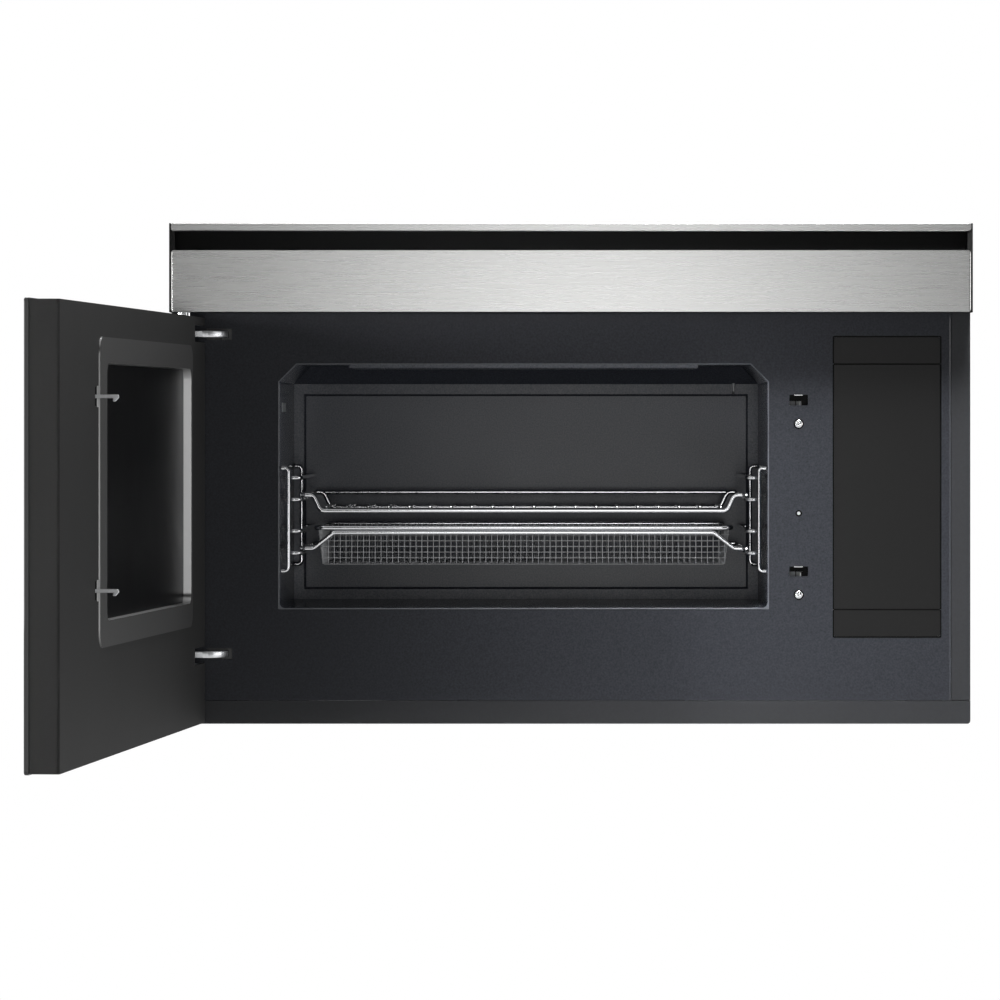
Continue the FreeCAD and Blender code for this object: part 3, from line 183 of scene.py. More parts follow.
for side, centre_y, half_y, centre_z, half_z in VENT_FIELDS:
    field = hole
    for socket, centre, half in (("X", side, WALL_DEPTH), ("Y", centre_y, half_y), ("Z", centre_z, half_z)):
        inside = add(enamel, "ShaderNodeMath", {
            0: axis.outputs[socket], 1: centre, 2: half}, operation="COMPARE")
        field = add(enamel, "ShaderNodeMath", {0: field, 1: inside}, operation="MULTIPLY")
    painted_vent_shade = field if painted_vent_shade is None else add(enamel, "ShaderNodeMath", {0: painted_vent_shade, 1: field}, operation="ADD")
coat = add(enamel, "ShaderNodeMixRGB", {"Fac": painted_vent_shade, "Color1": tone, "Color2": linear("#040404")})
sheen = add(enamel, "ShaderNodeMapRange", {"Value": cloud, "To Min": 0.18, "To Max": 0.22})
relief = add(enamel, "ShaderNodeBump", {"Height": speck, "Strength": 0.15, "Distance": 0.0002})
# The pressed panel's border turns over a radius of 2 mm, which the sheet's square step leaves out.
step = None
for socket, (low, high) in (("X", PRESSED_X), ("Z", PRESSED_Z)):
    off = add(enamel, "ShaderNodeMath", {0: axis.outputs[socket], 1: (low + high) / 2}, operation="SUBTRACT")
    off = add(enamel, "ShaderNodeMath", {0: off}, operation="ABSOLUTE")
    off = add(enamel, "ShaderNodeMath", {0: off, 1: (high - low) / 2}, operation="SUBTRACT")
    step = off if step is None else add(enamel, "ShaderNodeMath", {0: step, 1: off}, operation="MAXIMUM")
rise = add(enamel, "ShaderNodeMapRange", {"Value": step, "From Min": -PRESSED_R, "From Max": 0.0})
relief = add(enamel, "ShaderNodeBump", {
    "Height": rise, "Strength": 1.0, "Distance": 0.003, "Normal": relief})
fired = add(enamel, "ShaderNodeBsdfPrincipled", {
    "Base Color": coat, "Roughness": sheen, "Normal": relief, "IOR": 1.5, "Specular IOR Level": 0.14})
add(enamel, "ShaderNodeOutputMaterial", {"Surface": fired})
dress(enamel, "cavity_wrap", "cavity_back", "cavity_floor", "ceiling_cover")
soften(0.0004, "ceiling_cover", "cavity_back")


# Mouth edge. The cavity's front edge is folded over the panel's cut edge, so a narrow band of
# enamelled steel faces forward all round the mouth. The fold is smooth, so it shines more.

MOUTH_X = (-0.2780, 0.1877)
MOUTH_Z = (0.1092, 0.3420)
MOUTH_CHAMFER = 0.0170
PANEL_Y = -0.3685
# Growth, lower corner radius and height over the panel of each line along the fold.
FOLD_LINES = ((0.0005, 0.001, 0.0), (0.0003, 0.001, 0.0003), (-0.0005, 0.0060, 0.0003),
              (-0.0008, 0.0057, 0.0), (-0.0008, 0.0057, -0.0011), (0.0, 0.001, -0.0011))

smooth_enamel = mottled("smooth_grey_enamel_fold", 1.2, ("#4a4d54", "#686b72"), (0.2, 0.26),
                        {"IOR": 1.5, "Specular IOR Level": 0.3})


def add_piece(name, mesh, finish, body):
    """Makes a piece from a mesh in its finish, riding on a body."""
    mesh.materials.append(finish)
    piece = bpy.data.objects.new(name, mesh)
    bpy.context.collection.objects.link(piece)
    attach(piece, body)
    return piece


def ring_piece(name, loops, finish, body, capped=False):
    """Joins loops of equal count, each to the next: the last one to the first, or both closed by caps."""
    count = len(loops[0])
    faces = [range(count), range((len(loops) - 1) * count, len(loops) * count)] if capped else []
    for ring in range(len(loops) - capped):
        here, there = ring * count, (ring + 1) % len(loops) * count
        for number in range(count):
            after = (number + 1) % count
            faces.append((here + number, here + after, there + after, there + number))
    mesh = bpy.data.meshes.new(name)
    mesh.from_pydata([point for loop in loops for point in loop], [], faces)
    shell = bmesh.new()
    shell.from_mesh(mesh)
    bmesh.ops.recalc_face_normals(shell, faces=shell.faces)
    shell.to_mesh(mesh)
    shell.free()
    mesh.shade_smooth()
    mesh.set_sharp_from_angle(angle=math.radians(30))
    return add_piece(name, mesh, finish, body)


def mouth_loop(grow, corner, proud):
    """The mouth's outline, grown by a distance: round lower corners and chamfered upper ones."""
    left, right = MOUTH_X[0] - grow, MOUTH_X[1] + grow
    low, high = MOUTH_Z[0] - grow, MOUTH_Z[1] + grow
    cut = MOUTH_CHAMFER + (2 - math.sqrt(2)) * grow
    outline = []
    for x, start in ((left + corner, 180), (right - corner, 270)):
        for step in range(7):
            angle = math.radians(start + step * 15)
            outline.append((x + corner * math.cos(angle), low + corner + corner * math.sin(angle)))
    outline += [(right, high - cut), (right - cut, high), (left + cut, high), (left, high - cut)]
    return [(x, PANEL_Y - proud, z) for x, z in outline]


ring_piece("mouth_edge", [mouth_loop(*line) for line in FOLD_LINES], smooth_enamel, "chassis")


# Floor plate. A flat sheet of dark glass ceramic, sealed into the floor so that microwaves pass
# through to the food. It is smooth and glossy with a faint milky depth.

glass_ceramic = mottled("dark_glass_ceramic", 25, ("#26282b", "#313337"), (0.12, 0.22),
                        {"IOR": 1.54}, detail=3)
dress(glass_ceramic, "floor_plate")


# Lamp lenses. Small pressed windows of frosted glass, one in the cavity's left wall and one in
# the base for the cooktop below. They are clipped in from behind.

frosted, place = new_material("frosted_borosilicate")
frost = add(frosted, "ShaderNodeTexNoise", {"Vector": place, "Scale": 1000 / 1.5, "Detail": 2})
relief = add(frosted, "ShaderNodeBump", {"Height": frost, "Strength": 0.4, "Distance": 0.0003})
etched = add(frosted, "ShaderNodeMapRange", {"Value": frost, "To Min": 0.3, "To Max": 0.5})
lens = add(frosted, "ShaderNodeBsdfPrincipled", {
    "Base Color": linear("#c6cacc"), "Roughness": etched, "IOR": 1.47,
    "Transmission Weight": 0.15, "Normal": relief})
add(frosted, "ShaderNodeOutputMaterial", {"Surface": lens})
dress(frosted, "lamp_lens", "base_lamp_lens")


# Front panel. A steel sheet with the cavity mouth and all slots punched in it, coated in a fine
# textured blue-grey paint. The part behind the vent slot is drawn near-black and fully rough, as
# painted shade for the dark inside the slot.

VENT_FROM_Z = 0.4400

textured_paint, place = new_material("fine_textured_blue_grey_paint")
# The grit is about 0.5 mm and is drawn at 1.6 mm so that it shows.
grit = add(textured_paint, "ShaderNodeTexNoise", {"Vector": place, "Scale": 1000 / 1.6, "Detail": 3})
tone = add(textured_paint, "ShaderNodeMixRGB", {
    "Fac": grit, "Color1": linear("#131518"), "Color2": linear("#3d3f46")})
axis = add(textured_paint, "ShaderNodeSeparateXYZ", {"Vector": place})
# Painted shade: above this height the panel is near-black, standing for the dark inside the vent slot.
vent_shade_mask = add(textured_paint, "ShaderNodeMath", {
    0: axis.outputs["Z"], 1: VENT_FROM_Z}, operation="GREATER_THAN")
colour = add(textured_paint, "ShaderNodeMixRGB", {
    "Fac": vent_shade_mask, "Color1": tone, "Color2": linear("#050505")})
sheen = add(textured_paint, "ShaderNodeMapRange", {"Value": grit, "To Min": 0.4, "To Max": 0.58})
sheen = add(textured_paint, "ShaderNodeMath", {0: sheen, 1: vent_shade_mask}, operation="MAXIMUM")
relief = add(textured_paint, "ShaderNodeBump", {"Height": grit, "Strength": 0.35, "Distance": 0.0002})
painted = add(textured_paint, "ShaderNodeBsdfPrincipled", {
    "Base Color": colour, "Roughness": sheen, "Normal": relief, "IOR": 1.5, "Specular IOR Level": 0.2})
add(textured_paint, "ShaderNodeOutputMaterial", {"Surface": painted})
dress(textured_paint, "front_panel")


# Panel side edges. The panel's two long edges are pressed to a slant and finished in smooth glossy
# lacquer, so each shows as a thin paler line where the panel ends on the case's flange.

# X and Y of the slanted edge's corners on the right side, seen from above.
EDGE_PROFILE = ((0.3600, -0.3687), (0.3612, -0.3678), (0.3612, -0.3674), (0.3600, -0.3674))
EDGE_Z = (0.0222, 0.3860)

lacquer = mottled("glossy_grey_lacquer", 15, ("#303237", "#3c3e44"), (0.22, 0.3),
                  {"IOR": 1.55, "Specular IOR Level": 0.6})

for name, side in (("panel_edge_left", -1), ("panel_edge_right", 1)):
    ring_piece(name, [[(side * x, y, z) for x, y in EDGE_PROFILE] for z in EDGE_Z],
               lacquer, "chassis", capped=True)


# Service cover. Three flush plates of ABS, moulded black against a fine spark-eroded tool, snap into
# the panel's opening beside the cavity and hide the control board.

# The eroded grain is near 0.2 mm and is drawn at 0.9 mm so that it shows.
cover_abs = mottled("fine_grained_black_abs", 0.9, ("#0e0e0e", "#161616"), (0.32, 0.42),
                    {"IOR": 1.53, "Specular IOR Level": 0.18}, bump=0.1)
dress(cover_abs, "cover_middle", "cover_caps")
soften(0.0005, "cover_middle", "cover_caps")


# Cover seal. Thin flat lips of matt black rubber run round the three cover plates and fill the
# joints between them and the panel.

COVER_X = (0.2494, 0.3513)
COVER_EDGES = (0.0825, 0.1085, 0.3419, 0.3679)
LIP_OUT = 0.0007
LIP_IN = 0.0005
LIP_PROUD = 0.0002
LIP_CORNER = (0.0015, 0.0008)

black_rubber = mottled("matt_black_rubber", 3, ("#060606", "#0a0a0a"), (0.85, 0.95),
                       {"Specular IOR Level": 0.1})


def rounded_loop(left, right, low, high, radius, y):
    """Points round an upright rectangle with rounded corners, at one depth."""
    points = []
    for x, z, start in ((right - radius, high - radius, 0), (left + radius, high - radius, 90),
                        (left + radius, low + radius, 180), (right - radius, low + radius, 270)):
        for step in range(9):
            angle = math.radians(start + step * 90 / 8)
            points.append((x + radius * math.cos(angle), y, z + radius * math.sin(angle)))
    return points


def rubber_ring(name, outside, inside):
    """A flat lip on the panel between two outlines, each given by its sides and corner radius."""
    ring_piece(name, [rounded_loop(*outside, PANEL_Y), rounded_loop(*outside, PANEL_Y - LIP_PROUD),
                      rounded_loop(*inside, PANEL_Y - LIP_PROUD), rounded_loop(*inside, PANEL_Y)],
               black_rubber, "chassis")


for name, low, high in zip(("cover_seal_low", "cover_seal_middle", "cover_seal_high"),
                           COVER_EDGES, COVER_EDGES[1:]):
    first, last = low == COVER_EDGES[0], high == COVER_EDGES[-1]
    outside = (COVER_X[0] - LIP_OUT, COVER_X[1] + LIP_OUT,
               low - LIP_OUT * first, high + LIP_OUT * last, LIP_CORNER[0])
    inside = (COVER_X[0] + LIP_IN, COVER_X[1] - LIP_IN, low + LIP_IN, high - LIP_IN, LIP_CORNER[1])
    rubber_ring(name, outside, inside)


# Door frame. A deep pan of charcoal ABS behind the glass, moulded with an even, matt grain. It holds
# the window, the latch bar and the hinge blocks.

moulded_abs, place = new_material("charcoal_moulded_abs")
# The eroded grain is near 0.2 mm and is drawn at 0.9 mm so that it shows.
grain = add(moulded_abs, "ShaderNodeTexNoise", {"Vector": place, "Scale": 1000 / 0.9, "Detail": 2})
drift = add(moulded_abs, "ShaderNodeTexNoise", {"Vector": place, "Scale": 1000 / 90, "Detail": 1})
tone = add(moulded_abs, "ShaderNodeMixRGB", {
    "Fac": drift, "Color1": linear("#282828"), "Color2": linear("#2e2e2e")})
sheen = add(moulded_abs, "ShaderNodeMapRange", {"Value": grain, "To Min": 0.6, "To Max": 0.75})
relief = add(moulded_abs, "ShaderNodeBump", {"Height": grain, "Strength": 0.12, "Distance": 0.0002})
moulding = add(moulded_abs, "ShaderNodeBsdfPrincipled", {
    "Base Color": tone, "Roughness": sheen, "Normal": relief, "IOR": 1.53, "Specular IOR Level": 0.12})
add(moulded_abs, "ShaderNodeOutputMaterial", {"Surface": moulding})
dress(moulded_abs, "door_frame")


# Choke cover. A frame of black coated steel over the microwave seal, with a drawn collar that steps
# down to the window. Its edges lean by the press tool's draft and are bare, so they shine. It is
# drawn on the closed door and turned with it to where it stands open.

PIVOT = Vector((-0.3645, -0.3880, 0.0))
OPEN_DEG = 95.0
DOOR_FACE = (math.sin(math.radians(OPEN_DEG)), math.cos(math.radians(OPEN_DEG)), 0)
DOOR_INNER = -0.3710
CHOKE = (-0.2920, 0.1980, 0.0960, 0.3580)
WINDOW = (-0.2830, 0.1640, 0.1180, 0.3360)
DRAFT = math.tan(math.radians(3.2))
COLLAR_DEPTH = 0.0060
COLLAR_WALL = 0.0027
CHOKE_CORNER = 0.0140
WINDOW_CORNER = 0.0100
FACE_PROUD = 0.0013

coated_steel, place = new_material("black_coated_steel_with_bare_edges")
grain = add(coated_steel, "ShaderNodeTexNoise", {"Vector": place, "Scale": 1000 / 0.9, "Detail": 2})
normal = add(coated_steel, "ShaderNodeTexCoord", {}).outputs["Normal"]
square = add(coated_steel, "ShaderNodeVectorMath", {0: normal, 1: DOOR_FACE}, operation="DOT_PRODUCT")
square = add(coated_steel, "ShaderNodeMath", {0: square.outputs["Value"]}, operation="ABSOLUTE")
bare = add(coated_steel, "ShaderNodeMapRange", {"Value": square, "From Min": 0.75, "From Max": 0.55})
black = add(coated_steel, "ShaderNodeMixRGB", {
    "Fac": grain, "Color1": linear("#242424"), "Color2": linear("#2b2b2b")})
tone = add(coated_steel, "ShaderNodeMixRGB", {"Fac": bare, "Color1": black, "Color2": linear("#c2c2c2")})
polish = add(coated_steel, "ShaderNodeMapRange", {"Value": bare, "To Min": 0.62, "To Max": 0.3})
sheet = add(coated_steel, "ShaderNodeBsdfPrincipled", {
    "Base Color": tone, "Metallic": bare, "Roughness": polish})
add(coated_steel, "ShaderNodeOutputMaterial", {"Surface": sheet})

turn = Matrix.Rotation(math.radians(-OPEN_DEG), 4, "Z")
swing = Matrix.Translation(PIVOT) @ turn @ Matrix.Translation(-PIVOT)


def door_loop(rectangle, grow, radius, proud):
    """A rounded outline on the door, grown by a distance, at a height over its inner face."""
    left, right, low, high = rectangle
    loop = rounded_loop(left - grow, right + grow, low - grow, high + grow,
                        radius + grow, DOOR_INNER + proud)
    return [tuple(swing @ Vector(point)) for point in loop]


choke = ring_piece("choke_cover_drawn", [
    door_loop(CHOKE, FACE_PROUD * DRAFT, CHOKE_CORNER, 0.0),
    door_loop(CHOKE, 0.0, CHOKE_CORNER, FACE_PROUD),
    door_loop(WINDOW, 0.0, WINDOW_CORNER, FACE_PROUD),
    door_loop(WINDOW, -(FACE_PROUD + COLLAR_DEPTH) * DRAFT, WINDOW_CORNER, -COLLAR_DEPTH),
    door_loop(WINDOW, COLLAR_WALL, WINDOW_CORNER, -COLLAR_DEPTH),
    door_loop(WINDOW, COLLAR_WALL, WINDOW_CORNER, 0.0)], coated_steel, "door")
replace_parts(choke, "choke_cover")


# Latch slot edges. Beside each hook a small steel tab is folded up from the choke cover to keep the
# slot's edge from wearing. Its cut edge is bare.

TAB_X = (0.2050, 0.2060)
TAB_HALF = 0.0090
TAB_PROUD = 0.0015
TAB_SHEET = 0.0004
TAB_CORNER, CORE_CORNER = 0.0003, 0.0001
HOOK_Z = (0.1448, 0.3076)

for name, z in zip(("latch_slot_edge_low", "latch_slot_edge_high"), HOOK_Z):
    tab = (TAB_X[0], TAB_X[1], z - TAB_HALF, z + TAB_HALF)
    core = (TAB_X[0] + TAB_SHEET, TAB_X[1] - TAB_SHEET, z - TAB_HALF + TAB_SHEET, z + TAB_HALF - TAB_SHEET)
    ring_piece(name, [door_loop(tab, 0.0, TAB_CORNER, 0.0),
                      door_loop(tab, -TAB_PROUD * DRAFT, TAB_CORNER, TAB_PROUD),
                      door_loop(core, 0.0, CORE_CORNER, TAB_PROUD),
                      door_loop(core, 0.0, CORE_CORNER, 0.0)], coated_steel, "door")


# Latch body. An acetal moulding behind the panel with a chamber at each slot. The chamber is drawn
# near-black, painted shade; the ramp and post that guide a hook are light grey, drawn near-white as
# painted light against that shade; and a bright steel pin locates the body.

SCREW_X = 0.2164
PIN_Z = 0.2000
PIN_R = 0.0017
GUIDE_DOWN, GUIDE_HALF = 0.0058, 0.0048
RAMP_TO_X = SCREW_X - 0.0022
POST_X, POST_HALF = SCREW_X + 0.0006, 0.0019

acetal, place = new_material("acetal_painted_light_and_shade_with_steel_pin")
axis = add(acetal, "ShaderNodeSeparateXYZ", {"Vector": place})
flow = add(acetal, "ShaderNodeTexNoise", {"Vector": place, "Scale": 1000 / 2, "Detail": 2})
lifted_grey = add(acetal, "ShaderNodeMixRGB", {
    "Fac": flow, "Color1": linear("#d2d3d5"), "Color2": linear("#e6e7e8")})
low = None
for z in HOOK_Z:
    below = add(acetal, "ShaderNodeMath", {
        0: axis.outputs["Z"], 1: z - GUIDE_DOWN, 2: GUIDE_HALF}, operation="COMPARE")
    low = below if low is None else add(acetal, "ShaderNodeMath", {0: low, 1: below}, operation="MAXIMUM")
left = add(acetal, "ShaderNodeMath", {0: axis.outputs["X"], 1: RAMP_TO_X}, operation="LESS_THAN")
post = add(acetal, "ShaderNodeMath", {0: axis.outputs["X"], 1: POST_X, 2: POST_HALF}, operation="COMPARE")
lit_guide_mask = add(acetal, "ShaderNodeMath", {0: left, 1: post}, operation="MAXIMUM")
lit_guide_mask = add(acetal, "ShaderNodeMath", {0: lit_guide_mask, 1: low}, operation="MULTIPLY")
# Painted shade and light: the chamber near-black, the ramp and post near-white.
colour = add(acetal, "ShaderNodeMixRGB", {"Fac": lit_guide_mask, "Color1": linear("#050505"), "Color2": lifted_grey})
reach = add(acetal, "ShaderNodeVectorMath", {0: place, 1: (SCREW_X, PANEL_Y, PIN_Z)}, operation="DISTANCE")
pin = add(acetal, "ShaderNodeMath", {0: reach.outputs["Value"], 1: PIN_R}, operation="LESS_THAN")
colour = add(acetal, "ShaderNodeMixRGB", {"Fac": pin, "Color1": colour, "Color2": linear("#d2d2d2")})
polish = add(acetal, "ShaderNodeMapRange", {"Value": flow, "To Min": 0.4, "To Max": 0.5})
body = add(acetal, "ShaderNodeBsdfPrincipled", {
    "Base Color": colour, "Metallic": pin, "Roughness": polish, "IOR": 1.48, "Specular IOR Level": 0.16})
add(acetal, "ShaderNodeOutputMaterial", {"Surface": body})
dress(acetal, "latch_body")


# Latch screws. Two pan-head machine screws with a cross recess hold the latch body to the panel.
# They are cold-headed steel with bright zinc plating.

SCREW_Z = (0.1226, 0.2850)
HEAD_R = 0.00355
HEAD_H = 0.0016
DOME = 0.82
RECESS_R = 0.0021
RECESS_W = 0.00055
RECESS_D = 0.0009
RECESS_TAPER = 0.5
RECESS_TURN = math.radians(25)

bright_zinc = mottled("bright_zinc_plate", 6, ("#c4c6c8", "#dedfe0"), (0.14, 0.26),
                      {"Metallic": 1.0}, detail=3)


def screw_head(centre_z, corners, faces):
    """Adds rings of a domed head to the lists, pressed in where the cross recess lies."""
    rings, spokes = 14, 48
    start = len(corners)
    for ring in range(rings + 1):
        r = HEAD_R * ring / rings
        for spoke in range(spokes):
            angle = 2 * math.pi * spoke / spokes
            x, z = r * math.cos(angle), r * math.sin(angle)
            height = HEAD_H * math.sqrt(max(0.0, 1 - (r / HEAD_R) ** 2 * DOME))
            turn = angle + RECESS_TURN
            slot = r * min(abs(math.cos(turn)), abs(math.sin(turn)))
            if r < RECESS_R and slot < RECESS_W:
                height -= RECESS_D * (1 - r / RECESS_R * RECESS_TAPER)
            corners.append((SCREW_X + x, PANEL_Y - height, centre_z + z))
    for spoke in range(spokes):
        angle = 2 * math.pi * spoke / spokes
        corners.append((SCREW_X + HEAD_R * math.cos(angle), PANEL_Y, centre_z + HEAD_R * math.sin(angle)))
    for ring in range(rings + 1):
        for spoke in range(spokes):
            a = start + ring * spokes + spoke
            b = start + ring * spokes + (spoke + 1) % spokes
            faces.append((a, b, b + spokes, a + spokes))


corners, faces = [], []
for z in SCREW_Z:
    screw_head(z, corners, faces)
mesh = bpy.data.meshes.new("latch_screw_heads")
mesh.from_pydata(corners, [], faces)
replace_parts(add_piece("latch_screw_heads", mesh, bright_zinc, "chassis"), "latch_screws")


# Rings and slot lips. A flat matt black ring lies on the panel round each latch screw and round the
# locating pin, and the panel's sheet is turned out into a short bright lip above each latch slot.

SCREW_RING_RADII = (0.0049, 0.0034)
PIN_RING_RADII = (0.0031, 0.00155)
SLOT_LIP_X = (0.2120, 0.2204)
SLOT_LIP_Z = (0.1494, 0.3126)
SLOT_LIP_WIDE = 0.0006
SLOT_LIP_DOWN, SLOT_LIP_UP = 0.0007, 0.0008
SLOT_LIP_BACK = PANEL_Y + 0.0008
SLOT_LIP_EDGE, SLOT_LIP_CREST = PANEL_Y - 0.0002, PANEL_Y - 0.0003
SLOT_LIP_GAP = 0.0002

for name, z, radii in (("screw_ring_low", SCREW_Z[0], SCREW_RING_RADII),
                       ("screw_ring_high", SCREW_Z[1], SCREW_RING_RADII), ("pin_ring", PIN_Z, PIN_RING_RADII)):
    outside, inside = [(SCREW_X - r, SCREW_X + r, z - r, z + r, r) for r in radii]
    rubber_ring(name, outside, inside)

left, right = SLOT_LIP_X
for name, z in zip(("slot_lip_low", "slot_lip_high"), SLOT_LIP_Z):
    outside = (left, right, z - SLOT_LIP_DOWN, z + SLOT_LIP_UP, SLOT_LIP_WIDE)
    inside = (left + SLOT_LIP_WIDE, right - SLOT_LIP_WIDE, z, z + SLOT_LIP_GAP, SLOT_LIP_GAP / 2)
    ring_piece(name, [rounded_loop(*outside, SLOT_LIP_BACK), rounded_loop(*outside, SLOT_LIP_EDGE),
                      rounded_loop(*inside, SLOT_LIP_CREST), rounded_loop(*inside, SLOT_LIP_BACK)],
               bright_zinc, "chassis")


# Side ladders. Each has two upright wires bent into the cavity wall and four rails bowed towards
# the middle, on which the racks slide. They are welded steel wire, bright chrome plated.

WALL_X = -0.2780
CAVITY_X = -0.04515
LADDER_R = 0.0020
LADDER_Y = (-0.3535, -0.1025)
LADDER_Z = (0.1447, 0.2428)
RAIL_Z = (0.1618, 0.1828, 0.2129, 0.2336)
UPRIGHT_X = WALL_X + 0.0085
RAIL_X = WALL_X + 0.0203
WELD_X = UPRIGHT_X + 2 * LADDER_R - 0.0015
UPRIGHT_BEND, RAIL_BEND = 0.004, 0.006
# Shares of a wire's radius: how far its rounded end reaches, the end's flat, and the gap to the next knot.
END_LENGTH, END_FLAT, KNOT_GAP = 0.7, 0.4, 0.25

chrome = mottled("bright_chrome_plate", 12, ("#bcbdbf", "#cacbcd"), (0.06, 0.12),
                 {"Metallic": 1.0}, detail=3)


def new_wires(name, radius):
    """An empty curve whose splines become round wires."""
    wires = bpy.data.curves.new(name, "CURVE")
    wires.dimensions = "3D"
    wires.bevel_depth = radius
    wires.bevel_resolution = 3
    wires.resolution_u = 6
    wires.use_fill_caps = True
    return wires


def bend_wire(wires, points, bend=0.0, closed=False):
    """Adds one wire with rounded ends through the points, each corner bent to the given radius.

    A knot just past each end and bend keeps the straight lengths evenly lit."""
    points = [Vector(p) for p in points]
    knots = []
    count = len(points)
    past = wires.bevel_depth * KNOT_GAP
    for number, corner in enumerate(points):
        if not closed and number in (0, count - 1):
            inward = ((points[1] if number == 0 else points[-2]) - corner).normalized()
            shoulder = corner + inward * wires.bevel_depth * END_LENGTH
            ends = [(corner, None, None, END_FLAT), (shoulder, None, None, 1.0),
                    (shoulder + inward * past, None, None, 1.0)]
            knots += ends if number == 0 else ends[::-1]
            continue
        into = (corner - points[number - 1]).normalized()
        out = (points[(number + 1) % count] - corner).normalized()
        turn = into.angle(out)
        back = bend * math.tan(turn / 2)
        pull = bend * math.tan(turn / 4) * 4 / 3
        begin, end = corner - into * back, corner + out * back
        knots += [(begin - into * past, None, None, 1.0), (begin, None, begin + into * pull, 1.0),
                  (end, end - out * pull, None, 1.0), (end + out * past, None, None, 1.0)]
    spline = wires.splines.new("BEZIER")
    spline.bezier_points.add(len(knots) - 1)
    spline.use_cyclic_u = closed
    for point, (place, left, right, thickness) in zip(spline.bezier_points, knots):
        point.co = place
        point.radius = thickness
        point.handle_left_type = "FREE" if left else "VECTOR"
        point.handle_right_type = "FREE" if right else "VECTOR"
        point.handle_left = left or place
        point.handle_right = right or place


def plate_wires(wires, body, finish):
    """Turns the finished wires into one smooth plated mesh that rides on a body."""
    drawn = bpy.data.objects.new(wires.name, wires)
    mesh = bpy.data.meshes.new_from_object(drawn)
    bpy.data.objects.remove(drawn)
    mesh.shade_smooth()
    return add_piece(wires.name, mesh, finish, body)


for name, mirror in (("ladder_left", False), ("ladder_right", True)):
    ladder = new_wires(name + "_wires", LADDER_R)
    flip = (lambda x: 2 * CAVITY_X - x) if mirror else (lambda x: x)
    for y in LADDER_Y:
        path = [(WALL_X, LADDER_Z[0]), (UPRIGHT_X, LADDER_Z[0]),
                (UPRIGHT_X, LADDER_Z[1]), (WALL_X, LADDER_Z[1])]
        bend_wire(ladder, [(flip(x), y, z) for x, z in path], UPRIGHT_BEND)
    for z in RAIL_Z:
        path = [(WELD_X, LADDER_Y[0]), (RAIL_X, LADDER_Y[0]), (RAIL_X, LADDER_Y[1]), (WELD_X, LADDER_Y[1])]
        bend_wire(ladder, [(flip(x), y, z) for x, y in path], RAIL_BEND)
    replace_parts(plate_wires(ladder, "chassis", chrome), name)


# Racks. Each is welded from two straight runners and a bent front and rear wire; the upper one
# also carries a guard wire and twenty thin cross wires. Steel wire, bright chrome plated.

RACK_R = 0.00225
RACK_Y = (-0.3465, -0.1245)
RUNNER_X = (-0.2577, 0.1674)
UPPER_Z = 0.2172
UPPER_LEVEL_Z = UPPER_Z - 0.0150
LOWER_Z = 0.1661
LOWER_LEVEL_Z = LOWER_Z + 0.0152
SHOULDER = 0.0115
UPPER_FOOT, LOWER_FOOT = 0.0185, 0.0310
RACK_BEND = 0.006
CROSS_COUNT = 20
CROSS_R = 0.0015
CROSS_PITCH = 0.0198
CROSS_PAST = 0.002

upper_rack = new_wires("upper_rack_wires", RACK_R)
lower_rack = new_wires("lower_rack_wires", RACK_R)
left, right = RUNNER_X
for rack, runner_z, level_z, foot in ((upper_rack, UPPER_Z, UPPER_LEVEL_Z, UPPER_FOOT),
                                      (lower_rack, LOWER_Z, LOWER_LEVEL_Z, LOWER_FOOT)):
    for x in RUNNER_X:
        bend_wire(rack, [(x, RACK_Y[0] - RACK_R, runner_z), (x, RACK_Y[1] + RACK_R, runner_z)])
    for y in RACK_Y:
        path = [(left + RACK_R, runner_z), (left + SHOULDER, runner_z), (left + foot, level_z),
                (right - foot, level_z), (right - SHOULDER, runner_z), (right - RACK_R, runner_z)]
        bend_wire(rack, [(x, y, z) for x, z in path], RACK_BEND)
guard_y = RACK_Y[1] - 2 * RACK_R
bend_wire(upper_rack, [(left + SHOULDER, guard_y, UPPER_Z), (right - SHOULDER, guard_y, UPPER_Z)])
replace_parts(plate_wires(upper_rack, "upper_rack", chrome), "upper_rack")
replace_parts(plate_wires(lower_rack, "lower_rack", chrome), "lower_rack")

cross_wires = new_wires("upper_rack_cross_wires", CROSS_R)
cross_z = UPPER_LEVEL_Z + RACK_R + CROSS_R
for number in range(CROSS_COUNT):
    x = CAVITY_X + (number - (CROSS_COUNT - 1) / 2) * CROSS_PITCH
    bend_wire(cross_wires, [(x, RACK_Y[0] - CROSS_PAST, cross_z), (x, RACK_Y[1] + CROSS_PAST, cross_z)])
plate_wires(cross_wires, "upper_rack", chrome)


# Basket. A tray of welded wire mesh with tapered ends hangs by its rim on the lower rack. The
# mesh is thin steel wire on a pitch of 5.5 mm, plated in dull nickel like the cavity's probe, and
# its thick rim wire is chromed.

MESH_PITCH = 0.0055
MESH_R = 0.00035
RIM_Z = 0.18585
RIM_X = (-0.2432, 0.1529)
BASE_Z = 0.1516
BASE_X = (-0.2372, 0.1469)
TOP_X = (-0.2412, 0.1509)
WALL_Y = (-0.3434, -0.1276)
HOOPS = 5
RIM_BEND, MESH_BEND, HOOP_BEND = 0.008, 0.002, 0.003

dull_nickel = mottled("dull_nickel_plate", 8, ("#b6b7b9", "#c8c9cb"), (0.55, 0.65),
                      {"Metallic": 1.0}, detail=3)
dress(dull_nickel, "cavity_probe")

